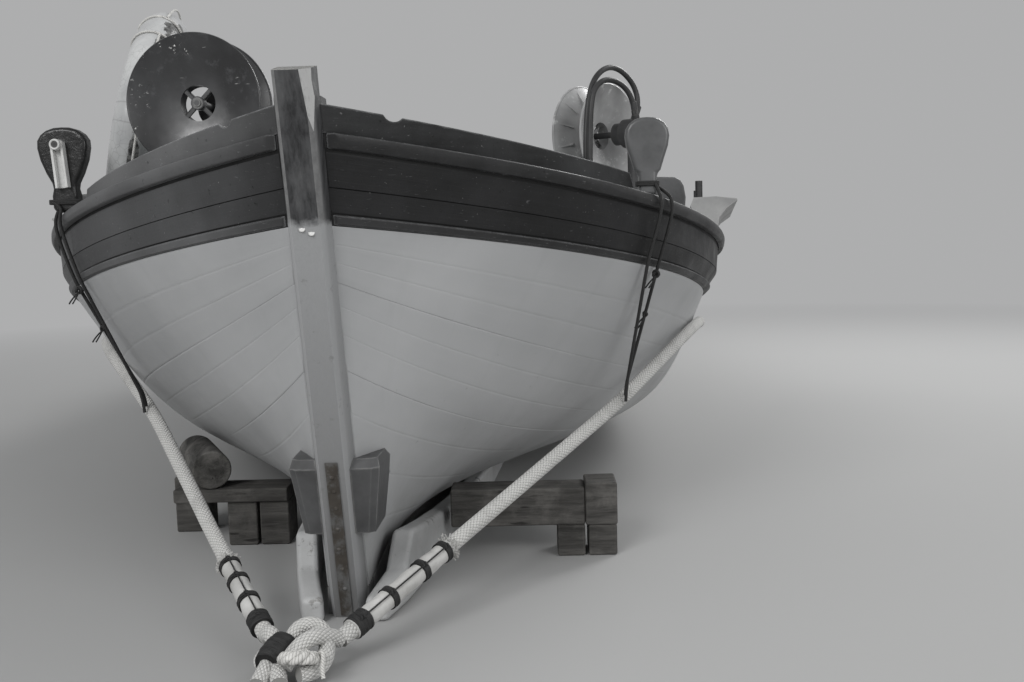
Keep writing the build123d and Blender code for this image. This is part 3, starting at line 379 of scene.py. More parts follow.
def from_axle(wheel_at, point):
    x, y, z, turn = wheel_at
    ux, uy = math.sin(math.radians(turn)), math.cos(math.radians(turn))
    along_axle, across, up = point
    return x + along_axle * ux - across * uy, y + along_axle * uy + across * ux, z + up


hose_lines = [spline_points([from_axle(AFT_WHEEL, p) for p in HOSES[name]], name, 8) for name in HOSES]

# The lashings: one cord before and one behind each horn, over the rail and down to the bridle
HORN_Y = 0.445
HORN_THICK = 0.046
HORN_X = {"port": 0.827, "starboard": 0.848}
HORN_FOOT = surface_at(HORN_Y - HORN_THICK / 2, 0.0, 1).z + 0.0021
RAIL_OUT = 0.022
CORD = 0.005
CORD_CLEAR = 0.008
LASH_UP = 0.018
MOULD_OUT = 0.026
CORD_ASIDE = 0.0285
CORD_BEND = 0.06
LOW_OUT = 0.031
LOW_UP = 0.060
END_OUT = 0.028
LASH_ASIDE = 0.009
# Turns round each horn: height of the lowest over the foot, and half width of the post
TURNS = {"port": (0.034, 0.026), "starboard": (0.030, 0.038)}


def upright(name, y):
    # a hull line at the true distance aft y
    beam, full, low, high = LINES[name]
    start = SHEER_STEM - low
    t = y + STEM_RAKE * start
    return plan(t, beam, full, PLAN_LENGTH), line_height(t, low, high)


def lashing_ends(side_name, share):
    # where a cord leaves the moulding, and where it meets the bridle; share is -1 before and 1 behind
    side = SIDES[side_name]
    lash = LASH_PORT if side > 0 else LASH_STARBOARD
    y = HORN_Y + CORD_ASIDE * share
    mould_b, mould_z = upright("mould_top", y)
    mould = (side * (mould_b + MOULD_OUT), y + 0.003, mould_z - 0.014)
    return mould, (side * (abs(lash[0]) + LOW_OUT), lash[1] + LASH_ASIDE * share, lash[2] + LOW_UP)


def lashing_points(side_name, share):
    side = SIDES[side_name]
    lash = LASH_PORT if side > 0 else LASH_STARBOARD
    above, half = TURNS[side_name]
    y = HORN_Y + CORD_ASIDE * share
    sheer_z = upright("sheer", y)[1]
    rail_b, rail_z = upright("rail_foot", y)
    outer = rail_b + RAIL_OUT + CORD + CORD_CLEAR
    mould, low = lashing_ends(side_name, share)
    return [
        (side * (HORN_X[side_name] + half - 0.006), y, HORN_FOOT + above),
        (side * (outer - 0.010), y, sheer_z + 0.016),
        (side * outer, y, sheer_z - 0.008),
        (side * outer, y, rail_z - 0.008),
        mould,
        toward(mould, low, CORD_BEND),
        toward(low, mould, CORD_BEND),
        low,
        (side * (abs(lash[0]) + END_OUT), lash[1] + LASH_ASIDE * share, lash[2] + LASH_UP + 0.008 * share),
    ]


cord_lines = []
for side_name in SIDES:
    for share in (-1.0, 1.0):
        line = spline_points(lashing_points(side_name, share), "lashing", 12)
        cord_lines.append(resampled(line, 0.006))

# Materials
COAT_ROUGHNESS = 0.25
FLAT_ABOVE = 0.985
WORN_BELOW = 0.86


def scaled(tone, by):
    return tuple(by * c for c in tone)


class Finish:
    """Builds one procedural material, layer by layer."""

    def __init__(self, name):
        self.material = bpy.data.materials.new(name)
        self.material.use_nodes = True
        self.tree = self.material.node_tree
        self.shader = self.tree.nodes["Principled BSDF"]
        self.spot = self.place()
        self.base = None
        self.relief = None

    def put(self, node_type, inputs=None, **settings):
        node = self.tree.nodes.new(node_type)
        for key, value in settings.items():
            setattr(node, key, value)
        for key, value in (inputs or {}).items():
            self.feed(node.inputs[key], value)
        return node

    def feed(self, socket, value):
        if isinstance(value, bpy.types.NodeSocket):
            self.tree.links.new(value, socket)
        elif isinstance(value, tuple) and len(value) == 3 and socket.type == "RGBA":
            socket.default_value = (*value, 1.0)
        else:
            socket.default_value = value

    def place(self, scale=(1, 1, 1), grain=False):
        if grain:
            source = self.put("ShaderNodeUVMap", uv_map="grain").outputs["UV"]
        else:
            source = self.put("ShaderNodeTexCoord").outputs["Object"]
        return self.put("ShaderNodeVectorMath", {0: source, 1: scale}, operation="MULTIPLY").outputs[0]

    def axis(self, name):
        source = self.put("ShaderNodeTexCoord").outputs["Object"]
        return self.put("ShaderNodeSeparateXYZ", {0: source}).outputs[name]

    def grain(self):
        uv = self.put("ShaderNodeUVMap", uv_map="grain").outputs["UV"]
        parts = self.put("ShaderNodeSeparateXYZ", {0: uv})
        return parts.outputs[0], parts.outputs[1]

    def attribute(self, name):
        return self.put("ShaderNodeAttribute", attribute_name=name).outputs["Fac"]

    def math(self, operation, a, b=0.0):
        return self.put("ShaderNodeMath", {0: a, 1: b}, operation=operation).outputs[0]

    def times(self, a, b):
        return self.math("MULTIPLY", a, b)

    def noise(self, where, scale, detail=4.0, rough=0.55, twist=0.0):
        inputs = {"Vector": where, "Scale": scale, "Detail": detail, "Roughness": rough, "Distortion": twist}
        return self.put("ShaderNodeTexNoise", inputs).outputs[0]

    def span(self, value, low, high, start=0.0, end=1.0):
        inputs = {"Value": value, "From Min": low, "From Max": high, "To Min": start, "To Max": end}
        return self.put("ShaderNodeMapRange", inputs, clamp=True).outputs[0]

    def cloud(self, scale, detail, rough, low, high, start=0.0, end=1.0, twist=0.0):
        # noise in real space, spread from low and high to start and end
        return self.span(self.noise(self.spot, scale, detail, rough, twist), low, high, start, end)

    def mix(self, share, a, b):
        node = self.put("ShaderNodeMix", data_type="RGBA")
        self.feed(node.inputs[0], share)
        self.feed(node.inputs[6], a)
        self.feed(node.inputs[7], b)
        return node.outputs[2]

    def layer(self, share, tone):
        self.base = self.mix(share, self.base, tone)

    def edge(self, reach):
        # 1 at a convex or concave edge, 0 on the flat
        rounded = self.put("ShaderNodeBevel", {"Radius": reach}, samples=4).outputs[0]
        flat = self.put("ShaderNodeNewGeometry").outputs["Normal"]
        dot = self.put("ShaderNodeVectorMath", {0: rounded, 1: flat}, operation="DOT_PRODUCT")
        return self.span(dot.outputs["Value"], FLAT_ABOVE, WORN_BELOW)

    def wear(self, reach, scale, low, high, start, end):
        # the same, broken up by noise
        return self.times(self.edge(reach), self.cloud(scale, 6.0, 0.7, low, high, start, end))

    def emboss(self, value, strength, distance):
        inputs = {"Height": value, "Strength": strength, "Distance": distance}
        if self.relief is not None:
            inputs["Normal"] = self.relief
        self.relief = self.put("ShaderNodeBump", inputs).outputs[0]

    def finish(self, roughness, metallic=0.0, coat=0.0):
        self.feed(self.shader.inputs["Base Color"], self.base)
        self.feed(self.shader.inputs["Roughness"], roughness)
        self.shader.inputs["Metallic"].default_value = metallic
        if coat:
            self.shader.inputs["Coat Weight"].default_value = coat
            self.shader.inputs["Coat Roughness"].default_value = COAT_ROUGHNESS
        if self.relief is not None:
            self.feed(self.shader.inputs["Normal"], self.relief)
        return self.material


def plank_paint(name, grain, dark, light, chalk_and_light):
    """Old dark paint: blotched and brushed, specked, with painted light making the starboard side lighter in
    chalky blotches, and dark joints with a painted shadow under the rubbing rail.
    """
    f = Finish(name)
    f.base = f.mix(f.cloud(3.4, 6.0, 0.6, 0.36, 0.66), dark, light)
    stretch = f.place((2.4, 46.0, 1.0), True) if grain else f.place((3.0, 3.0, 30.0))
    brushed = f.noise(stretch, 2.0, 5.0, 0.6)
    f.layer(f.span(brushed, 0.38, 0.72, 0.0, 0.35), light)
    # painted light: the starboard side (-X) is made lighter, as if lit from that side, in chalky blotches
    f.layer(f.times(f.span(f.axis("X"), 0.02, -0.30), f.cloud(4.5, 5.0, 0.6, 0.2, 0.62, 0.35, 1.0)), chalk_and_light)
    scratches = f.noise(f.place((9.0, 30.0, 90.0)), 2.4, 4.0, 0.6, 0.6)
    f.layer(f.span(scratches, 0.66, 0.72, 0.0, 0.35), scaled(chalk_and_light, 2.4))
    f.layer(f.cloud(150.0, 2.0, 0.5, 0.74, 0.78, 0.0, 0.8), (0.30, 0.30, 0.29))
    f.layer(f.cloud(60.0, 6.0, 0.7, 0.36, 0.30, 0.0, 0.8), scaled(dark, 0.3))
    if grain:
        # dark joints at the band edges and seams, a dark gap above the lower moulding, and a dark gap with a
        # painted shadow under the rubbing rail
        gap_and_shadow = f.math("ADD", f.attribute("mark"), f.cloud(40.0, 5.0, 0.7, 0.35, 0.7, -0.12, 0.12))
        f.layer(f.span(gap_and_shadow, 0.26, 0.42), (0.003, 0.003, 0.003))
    else:
        f.layer(f.wear(0.006, 26.0, 0.35, 0.6, 0.15, 0.9), scaled(chalk_and_light, 2.2))
    f.emboss(brushed, 0.25, 0.003)
    f.emboss(f.noise(f.spot, 45.0, 8.0, 0.66), 0.28, 0.0025)
    f.shader.inputs["Specular IOR Level"].default_value = 0.30
    return f.finish(f.cloud(9.0, 5.0, 0.6, 0.3, 0.7, 0.40, 0.62))


def pale_paint(name, grain, low=(0.36, 0.365, 0.37), high=(0.47, 0.475, 0.48)):
    """Weathered off-white paint: soft clouds, faint seams, a few scratches, dark specks of grime low down,
    and painted shade darkening it towards the keel.
    """
    f = Finish(name)
    f.base = f.mix(f.cloud(1.4, 4.0, 0.5, 0.34, 0.66, twist=0.3), low, high)
    if grain:
        runs = f.noise(f.place((16.0, 0.9, 1.0), True), 1.0, 5.0, 0.6)
        f.layer(f.span(runs, 0.55, 0.78, 0.0, 0.18), (0.25, 0.25, 0.25))
        planks = f.noise(f.place((0.8, 7.0, 1.0), True), 1.0, 4.0, 0.5)
        f.layer(f.span(planks, 0.42, 0.7, 0.0, 0.20), (0.54, 0.545, 0.545))
        seam = f.times(f.span(f.attribute("mark"), 0.3, 1.0), f.cloud(5.0, 5.0, 0.7, 0.48, 0.66, 0.0, 0.38))
        f.layer(seam, (0.20, 0.20, 0.195))
        line = f.noise(f.place((1.3, 60.0, 1.0), True), 1.0, 3.0, 0.55, 0.3)
        f.layer(f.span(line, 0.72, 0.75, 0.0, 0.7), (0.70, 0.70, 0.69))
        f.layer(f.span(line, 0.27, 0.24, 0.0, 0.55), (0.13, 0.13, 0.125))
    # painted shade: darker towards the keel, broken up by clouds
    foot = f.span(f.axis("Z"), 0.12, 0.60, 0.75, 0.0)
    f.layer(f.times(foot, f.cloud(5.0, 7.0, 0.65, 0.34, 0.70, 0.2, 0.8, 0.5)), (0.215, 0.215, 0.21))
    low_down = f.span(f.axis("Z"), 0.7, 0.4, 0.0, 0.8)
    f.layer(f.times(f.cloud(24.0, 7.0, 0.72, 0.655, 0.70, twist=0.6), low_down), (0.12, 0.12, 0.115))
    if not grain:
        f.layer(f.wear(0.007, 30.0, 0.42, 0.62, 0.0, 0.8), (0.16, 0.155, 0.145))
        f.layer(f.cloud(19.0, 8.0, 0.72, 0.60, 0.66, 0.0, 0.75), (0.15, 0.145, 0.135))
    f.emboss(f.noise(f.spot, 7.0, 5.0, 0.55), 0.12, 0.006)
    f.emboss(f.noise(f.spot, 110.0, 5.0, 0.6), 0.12, 0.001)
    return f.finish(f.cloud(5.0, 5.0, 0.6, 0.3, 0.7, 0.40, 0.58))


def old_wood(name, stretch, low=(0.020, 0.019, 0.017), high=(0.090, 0.086, 0.080)):
    """Weathered bare timber; stretch is small along the grain and large across it."""
    f = Finish(name)
    where = f.place(stretch)
    rings = f.noise(where, 1.6, 8.0, 0.65, 0.6)
    fine = f.noise(f.place(scaled(stretch, 4)), 2.0, 4.0, 0.6)
    f.base = f.mix(f.span(rings, 0.32, 0.68), low, high)
    f.layer(f.span(fine, 0.5, 0.75, 0.0, 0.45), scaled(low, 0.45))
    f.layer(f.span(f.noise(where, 3.2, 2.0, 0.5), 0.66, 0.70, 0.0, 0.9), (0.010, 0.009, 0.008))
    f.layer(f.cloud(7.0, 6.0, 0.7, 0.50, 0.72, 0.0, 0.55), scaled(high, 1.9))
    f.layer(f.times(f.edge(0.008), 0.5), scaled(high, 1.7))
    f.emboss(rings, 0.6, 0.006)
    f.emboss(fine, 0.5, 0.002)
    return f.finish(0.82)


def plain_paint(name, dark, light, gloss=0.5, rim=0.6, rim_tone=(0.30, 0.30, 0.29), grit=0.3, nicks=0.68):
    """Brushed paint over timber or iron with a worn rim and small nicks."""
    f = Finish(name)
    f.base = f.mix(f.cloud(7.0, 5.0, 0.6, 0.34, 0.68), dark, light)
    f.layer(f.cloud(46.0, 7.0, 0.7, nicks, nicks + 0.03, 0.0, 0.8), rim_tone)
    f.layer(f.times(f.wear(0.007, 24.0, 0.38, 0.6, 0.2, 1.0), rim), rim_tone)
    f.emboss(f.noise(f.spot, 34.0, 7.0, 0.65), grit, 0.003)
    return f.finish(gloss)


def rusty_iron():
    """Painted iron with rust coming through."""
    f = Finish("rusty_iron")
    paint = (0.12, 0.12, 0.118)
    rust = f.mix(f.noise(f.spot, 40.0, 6.0, 0.6), (0.028, 0.024, 0.020), (0.095, 0.084, 0.072))
    cover = f.cloud(16.0, 9.0, 0.7, 0.46, 0.58)
    f.base = f.mix(cover, rust, f.mix(f.noise(f.spot, 60.0), scaled(paint, 0.7), scaled(paint, 1.4)))
    bright = f.noise(f.place((1.0, 1.0, 0.3)), 30.0, 8.0, 0.75)
    f.layer(f.span(bright, 0.64, 0.68, 0.0, 0.8), scaled(paint, 3.2))
    f.emboss(f.noise(f.spot, 55.0, 7.0, 0.7), 0.5, 0.002)
    f.emboss(cover, 0.3, 0.001)
    return f.finish(f.span(cover, 0.0, 1.0, 0.85, 0.5), metallic=0.3)


def wheel_paint(name, dark, light, gloss):
    """Pressed plate in old gloss paint: soft dents, chips to bright metal in small clusters."""
    f = Finish(name)
    f.base = f.mix(f.cloud(5.0, 4.0, 0.5, 0.35, 0.68, twist=0.4), dark, light)
    chips = f.times(f.cloud(85.0, 5.0, 0.7, 0.62, 0.65), f.cloud(6.5, 2.0, 0.5, 0.56, 0.62))
    f.layer(chips, (0.75, 0.75, 0.73))
    line = f.noise(f.place((12.0, 12.0, 70.0)), 1.5, 3.0, 0.5, 0.5)
    f.layer(f.times(f.span(line, 0.72, 0.74), 0.6), (0.5, 0.5, 0.49))
    f.layer(f.cloud(26.0, 8.0, 0.7, 0.56, 0.68, 0.0, 0.4), scaled(light, 2.0))
    f.emboss(f.noise(f.spot, 6.0, 3.0, 0.5), 0.35, 0.012)
    f.emboss(f.noise(f.spot, 70.0, 6.0, 0.6), 0.12, 0.0012)
    return f.finish(f.cloud(12.0, 4.0, 0.55, 0.3, 0.7, gloss, gloss + 0.18), coat=0.3)


def braid():
    """Round braided rope: two sets of strands cross as diamonds along the length."""
    f = Finish("braided_rope")
    low = (0.26, 0.257, 0.245)
    u, v = f.grain()
    around, along = f.times(v, 12.0), f.times(u, 70.0)
    waves = [f.math("SINE", f.times(f.math(way, along, around), math.pi)) for way in ("ADD", "SUBTRACT")]
    weave = f.math("ABSOLUTE", f.times(*waves))
    f.base = f.mix(f.span(weave, 0.0, 0.22), low, (0.62, 0.615, 0.595))
    f.layer(f.cloud(9.0, 7.0, 0.65, 0.5, 0.78, 0.0, 0.5), scaled(low, 0.6))
    f.layer(f.cloud(90.0, 3.0, 0.6, 0.70, 0.75, 0.0, 0.7), (0.12, 0.115, 0.10))
    f.emboss(weave, 0.9, 0.0030)
    f.emboss(f.noise(f.spot, 420.0, 3.0, 0.6), 0.35, 0.0008)
    f.shader.inputs["Sheen Weight"].default_value = 0.2
    return f.finish(0.9)


def laid_rope(name, turns, low, high, roughness=0.85):
    """Twisted cord: strands wind round the length."""
    f = Finish(name)
    u, v = f.grain()
    lay = f.math("ADD", f.times(u, turns), f.times(v, 3.0))
    twist = f.math("ABSOLUTE", f.math("SINE", f.times(lay, math.pi)))
    f.base = f.mix(f.span(twist, 0.0, 0.5), low, high)
    f.layer(f.cloud(60.0, 5.0, 0.6, 0.55, 0.75, 0.0, 0.5), scaled(high, 1.8))
    f.emboss(twist, 0.8, 0.0012)
    return f.finish(roughness)


# Peeled places on the lifebuoy: turn round the ring and across the tube, in degrees, and their half sizes
PEELED = [
    (214, 34, 9, 24), (231, 24, 9, 16), (247, 8, 8, 16),
    (292, 14, 15, 17), (286, -12, 9, 10), (205, 60, 7, 18),
]
BANDS_AT = (207.0, 224.0, 30.0, 120.0)
SEAMS_AT = (264.0, 273.0, 90.0, 160.0, 330.0, 10.0)


def buoy_cover():
    """Glossy painted canvas, cracked and peeled to a dark ground in patches."""
    f = Finish("buoy_cover")
    u, v = f.grain()
    f.base = f.mix(f.cloud(4.0, 5.0, 0.6, 0.35, 0.65), (0.36, 0.365, 0.37), (0.56, 0.565, 0.56))
    ragged = f.cloud(26.0, 8.0, 0.72, 0.25, 0.75, -0.9, 0.9)
    peeled = 0.0
    for turn, tube, half_turn, half_tube in PEELED:
        du = f.math("DIVIDE", f.math("SUBTRACT", u, turn), half_turn)
        dv = f.math("DIVIDE", f.math("SUBTRACT", v, tube), half_tube)
        near = f.math("ADD", f.times(du, du), f.times(dv, dv))
        peeled = f.math("MAXIMUM", peeled, f.span(f.math("ADD", near, ragged), 0.95, 0.65))
    peeled = f.math("MAXIMUM", peeled, f.cloud(13.0, 9.0, 0.72, 0.66, 0.69, twist=0.4))
    f.layer(peeled, f.mix(f.cloud(60.0, 5.0, 0.7, 0.4, 0.6), (0.02, 0.02, 0.02), (0.17, 0.17, 0.165)))
    for turn in SEAMS_AT:
        off = f.math("ABSOLUTE", f.math("SUBTRACT", u, turn))
        f.layer(f.span(off, 0.45, 0.2, 0.0, 0.4), (0.22, 0.22, 0.22))
    cells = {"Vector": f.spot, "Scale": 46.0}
    cracks = f.put("ShaderNodeTexVoronoi", cells, feature="DISTANCE_TO_EDGE").outputs[0]
    some = f.times(f.span(cracks, 0.0, 0.04, 0.4, 0.0), f.cloud(6.0, 3.0, 0.55, 0.5, 0.62))
    f.layer(some, (0.10, 0.10, 0.095))
    f.emboss(f.math("SUBTRACT", 1.0, peeled), 0.7, 0.0022)
    f.emboss(f.noise(f.spot, 18.0, 5.0, 0.6), 0.25, 0.004)
    return f.finish(f.span(peeled, 0.0, 1.0, 0.26, 0.85), coat=0.35)


STEM_PAINT_LINE = (0.985, 1.003)
RINGS_CENTRE = (0.03, -0.78, 1.3)


def stem_paint():
    """The stem: dark and streaked above the paint line, pale below and darker towards its foot as painted
    shade, with a painted highlight along its bevels.
    """
    f = Finish("stem_paint")
    facing = f.put("ShaderNodeNewGeometry").outputs["Normal"]
    parts = f.put("ShaderNodeSeparateXYZ", {0: facing})
    aside = f.math("ABSOLUTE", parts.outputs[0])
    # painted highlight: chamfer faces, picked by which way they turn, are made lighter
    bevel = f.times(f.span(aside, 0.25, 0.5), f.span(aside, 0.97, 0.90))
    streaks = f.noise(f.place((60.0, 60.0, 3.5)), 1.6, 7.0, 0.65, 0.3)
    wide = f.noise(f.place((22.0, 22.0, 1.4)), 1.4, 5.0, 0.6)
    # the dark part above
    f.base = f.mix(f.span(streaks, 0.34, 0.66), (0.010, 0.010, 0.011), (0.050, 0.051, 0.053))
    f.layer(f.span(wide, 0.45, 0.65, 0.0, 0.6), (0.095, 0.096, 0.098))
    # painted highlight along the chamfers of the dark part
    f.layer(f.times(bevel, f.cloud(40.0, 6.0, 0.7, 0.3, 0.6, 0.55, 1.0)), (0.19, 0.19, 0.19))
    worn = f.span(f.attribute("worn"), 0.2, 0.6)
    f.layer(f.times(worn, f.cloud(34.0, 7.0, 0.7, 0.30, 0.46, 0.25, 1.0)), (0.44, 0.44, 0.435))
    dark = f.base
    # the pale part below, darker towards the foot as painted shade near the ground
    f.base = f.mix(f.span(f.axis("Z"), 0.0, 0.9), (0.15, 0.15, 0.15), (0.28, 0.284, 0.288))
    # painted highlight along the chamfers of the pale part
    f.layer(f.times(bevel, 0.6), (0.36, 0.364, 0.37))
    f.layer(f.cloud(36.0, 8.0, 0.7, 0.60, 0.70, 0.0, 0.5), (0.14, 0.14, 0.135))
    line = f.math("ADD", f.axis("Z"), f.cloud(16.0, 6.0, 0.65, 0.3, 0.7, -0.012, 0.012))
    f.layer(f.span(line, *STEM_PAINT_LINE), dark)
    # end grain on top
    offset = f.put("ShaderNodeVectorMath", {0: f.spot, 1: RINGS_CENTRE}, operation="SUBTRACT").outputs[0]
    far = f.put("ShaderNodeVectorMath", {0: offset}, operation="LENGTH").outputs["Value"]
    bent = f.math("ADD", far, f.cloud(16.0, 4.0, 0.6, 0.0, 1.0, 0.0, 0.05))
    rings = f.math("SINE", f.times(bent, 900.0))
    grain = f.mix(f.span(rings, -0.6, 0.5), (0.02, 0.02, 0.02), (0.34, 0.335, 0.32))
    f.layer(f.span(parts.outputs[2], 0.75, 0.9), grain)
    f.emboss(streaks, 0.40, 0.004)
    f.emboss(f.noise(f.spot, 50.0, 6.0, 0.65), 0.3, 0.002)
    return f.finish(0.55)


# Plain paints: dark and light tone, roughness, share and tone of the worn rim, grit, and level of the nicks
PLAIN = {
    "inner_planks": ((0.20, 0.21, 0.21), (0.32, 0.33, 0.32)),
    "deck_paint": ((0.16, 0.175, 0.175), (0.25, 0.265, 0.26), 0.6, 0.5, (0.20, 0.17, 0.13)),
    "cheeks": ((0.045, 0.045, 0.046), (0.095, 0.096, 0.098), 0.5, 0.8, (0.30, 0.30, 0.29)),
    "chock": ((0.24, 0.24, 0.24), (0.36, 0.36, 0.355), 0.6, 0.4, (0.5, 0.5, 0.48)),
    "motor": ((0.020, 0.020, 0.021), (0.060, 0.060, 0.061), 0.5, 0.5, (0.16, 0.15, 0.14)),
    "sleeve": ((0.30, 0.297, 0.285), (0.56, 0.555, 0.54), 0.92, 0.2, (0.2, 0.2, 0.19), 0.7, 0.66),
    "horn_port": ((0.060, 0.061, 0.062), (0.120, 0.121, 0.123), 0.36, 0.7, (0.40, 0.40, 0.39), 0.12, 0.80),
    "horn_starboard": ((0.003, 0.003, 0.003), (0.014, 0.014, 0.014), 0.3, 0.25, (0.1, 0.1, 0.1), 0.8, 0.74),
    "strap": ((0.50, 0.50, 0.49), (0.68, 0.68, 0.67), 0.4, 0.35, (0.20, 0.19, 0.17), 0.2, 0.70),
    "hose": ((0.010, 0.010, 0.010), (0.040, 0.040, 0.041), 0.5, 0.2, (0.1, 0.1, 0.1), 0.2, 0.8),
}
# Dark plank paints: whether it follows the plank's own length, dark tone, light tone, and the chalk tone of
# scratches and worn edges, which also paints light on the starboard side
DARK = {
    "dark_planks": (True, (0.005, 0.005, 0.005), (0.018, 0.018, 0.019), (0.075, 0.076, 0.078)),
    "rails": (False, (0.010, 0.010, 0.010), (0.034, 0.034, 0.035), (0.11, 0.111, 0.113)),
    "wash_boards": (False, (0.012, 0.012, 0.012), (0.040, 0.041, 0.042), (0.15, 0.151, 0.153)),
}
FINISH = {
    "pale_planks": pale_paint("pale_planks", True),
    "pale_parts": pale_paint("pale_parts", False),
    "skids": pale_paint("skids", False, (0.42, 0.424, 0.425), (0.62, 0.625, 0.625)),
    "wood_long": old_wood("wood_long", (22.0, 2.6, 22.0)),
    "wood_cross": old_wood("wood_cross", (2.6, 22.0, 22.0)),
    "wood_up": old_wood("wood_up", (26.0, 26.0, 3.0)),
    "log": old_wood("log", (22.0, 2.6, 22.0), (0.022, 0.021, 0.019), (0.14, 0.135, 0.126)),
    "iron": rusty_iron(),
    "wheel_starboard": wheel_paint("wheel_starboard", (0.016, 0.016, 0.017), (0.050, 0.051, 0.053), 0.26),
    "wheel_port": wheel_paint("wheel_port", (0.22, 0.22, 0.22), (0.42, 0.42, 0.42), 0.40),
    "rope": braid(),
    "twine": laid_rope("twine", 260.0, (0.004, 0.004, 0.004), (0.022, 0.022, 0.022), 0.7),
    "strand": laid_rope("strand", 160.0, (0.26, 0.256, 0.242), (0.60, 0.592, 0.57)),
    "buoy": buoy_cover(),
    "stem": stem_paint(),
}
FINISH.update({name: plain_paint(name, *row) for name, row in PLAIN.items()})
FINISH.update({name: plank_paint(name, *row) for name, row in DARK.items()})


# Mesh helpers
SHARP = 32.0


def add_object(name, mesh, body, material):
    obj = bpy.data.objects.new(name, mesh)
    bpy.context.scene.collection.objects.link(obj)
    mesh.materials.clear()
    mesh.materials.append(material)
    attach(obj, body)
    return obj


def smooth_by_angle(mesh, degrees):
    bm = bmesh.new()
    bm.from_mesh(mesh)
    limit = math.radians(degrees)
    for face in bm.faces:
        face.smooth = True
    for edge in bm.edges:
        if len(edge.link_faces) == 2:
            edge.smooth = edge.calc_face_angle(0.0) < limit
    bm.to_mesh(mesh)
    bm.free()


def dress(node, material, bevel, segments=2):
    """A copy of a CAD node with softened edges, which stands for the node."""
    mesh = NODES[node].data.copy()
    bm = bmesh.new()
    bm.from_mesh(mesh)
    bmesh.ops.remove_doubles(bm, verts=bm.verts, dist=0.00002)
    bmesh.ops.dissolve_limit(bm, angle_limit=math.radians(1.0), verts=bm.verts, edges=bm.edges)
    bm.to_mesh(mesh)
    bm.free()
    if "custom_normal" in mesh.attributes:
        mesh.attributes.remove(mesh.attributes["custom_normal"])
    smooth_by_angle(mesh, SHARP)
    obj = add_object(node + "_dressed", mesh, "boat", material)
    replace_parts(obj, node)
    mod = obj.modifiers.new("edges", "BEVEL")
    mod.width = bevel
    mod.segments = segments
    mod.limit_method = "ANGLE"
    mod.angle_limit = math.radians(SHARP)
    mod.harden_normals = True
    return obj


def grid_mesh(name, rings, closed_ring, cap, uvs=None, marks=None):
    """A mesh from rings of points, each ring of the same count."""
    count = len(rings[0])
    bm = bmesh.new()
    layer = bm.loops.layers.uv.new("grain") if uvs else None
    tone = bm.verts.layers.float.new("mark") if marks else None
    verts = [[bm.verts.new(p) for p in ring] for ring in rings]
    if marks:
        for ring, values in zip(verts, marks):
            for vert, value in zip(ring, values):
                vert[tone] = value
    last = count if closed_ring else count - 1
    for i in range(len(rings) - 1):
        for j in range(last):
            k = (j + 1) % count
            face = bm.faces.new((verts[i][j], verts[i][k], verts[i + 1][k], verts[i + 1][j]))
            face.smooth = True
            if uvs:
                corners = ((i, j), (i, j + 1), (i + 1, j + 1), (i + 1, j))
                for loop, corner in zip(face.loops, corners):
                    loop[layer].uv = uvs(*corner)
    if cap:
        bm.faces.new(list(reversed(verts[0])))
        bm.faces.new(verts[-1])
    bmesh.ops.recalc_face_normals(bm, faces=bm.faces)
    mesh = bpy.data.meshes.new(name)
    bm.to_mesh(mesh)
    bm.free()
    return mesh


# Hull planking: every band of strakes is a curved plank with its real thickness
# Each band: first and last girth value, finish, record slot, and the seams between
BANDS = {
    "sheer_strake": (0.0, 1.0, "dark_planks", "dark_paint", []),
    "second_strake": (1.0, 2.0, "dark_planks", "dark_paint", []),
    "topside_planking": (2.0, 2.24, "pale_planks", "pale_paint", [2.075, 2.155]),
    "bilge_planking": (2.24, 2.56, "pale_planks", "pale_paint", [2.335, 2.44]),
    "bottom_planking": (2.56, 3.0, "pale_planks", "pale_paint", [2.68, 2.80, 2.90]),
}


DARK_EDGE = 0.010
PALE_EDGE = 0.0022
SEAM_EDGE = 0.0022
SEAM_SIDE = 0.007
SEAM_ROOM = 0.012
# Dark gaps under the rubbing rail, darkened further as a painted shadow, and above the lower moulding: girth
# value and mark
RAIL_GAP_AND_SHADOW = [(0.255, 0.0), (0.27, 1.0), (0.330, 1.0), (0.345, 0.0)]
MOULD_GAP = [(1.640, 0.0), (1.655, 1.0), (1.720, 1.0), (1.735, 0.0)]
DARK_GROOVE = 0.0045
PALE_GROOVE = 0.0012
SEAM_GROOVE = 0.0008
PLANK_WAVE = 0.0009
MOST_PROUD = 0.0015


def girth_steps(low, high, seams):
    # girth values of a band, closer together at its edges and beside each seam
    edge = DARK_EDGE if high <= 2.0 else PALE_EDGE
    values = [(low, 1.0), (low + edge, 0.35), (low + 2.5 * edge, 0.0)]
    count = 9 if high <= 2.0 else 12
    for g in spaced(low, high, count)[1:-1]:
        if all(abs(g - s) > SEAM_ROOM for s in seams):
            values.append((g, 0.0))
    for s in seams:
        values += [(s - SEAM_SIDE, 0.0), (s - SEAM_EDGE, 0.25), (s, 1.0)]
        values += [(s + SEAM_EDGE, 0.25), (s + SEAM_SIDE, 0.0)]
    # the dark gap and painted shadow under the rubbing rail, and the dark gap above the lower moulding
    if low == 0.0:
        values += RAIL_GAP_AND_SHADOW
    if low == 1.0:
        values += MOULD_GAP
    values += [(high - 2.5 * edge, 0.0), (high - edge, 0.35), (high, 1.0)]
    return sorted(values)


def sunk_by(mark, at_end, dark):
    # how far the skin is set in: a groove at each edge of a band, a slight one at a seam
    if at_end:
        return DARK_GROOVE if dark else PALE_GROOVE
    return SEAM_GROOVE if mark == 1.0 else 0.0


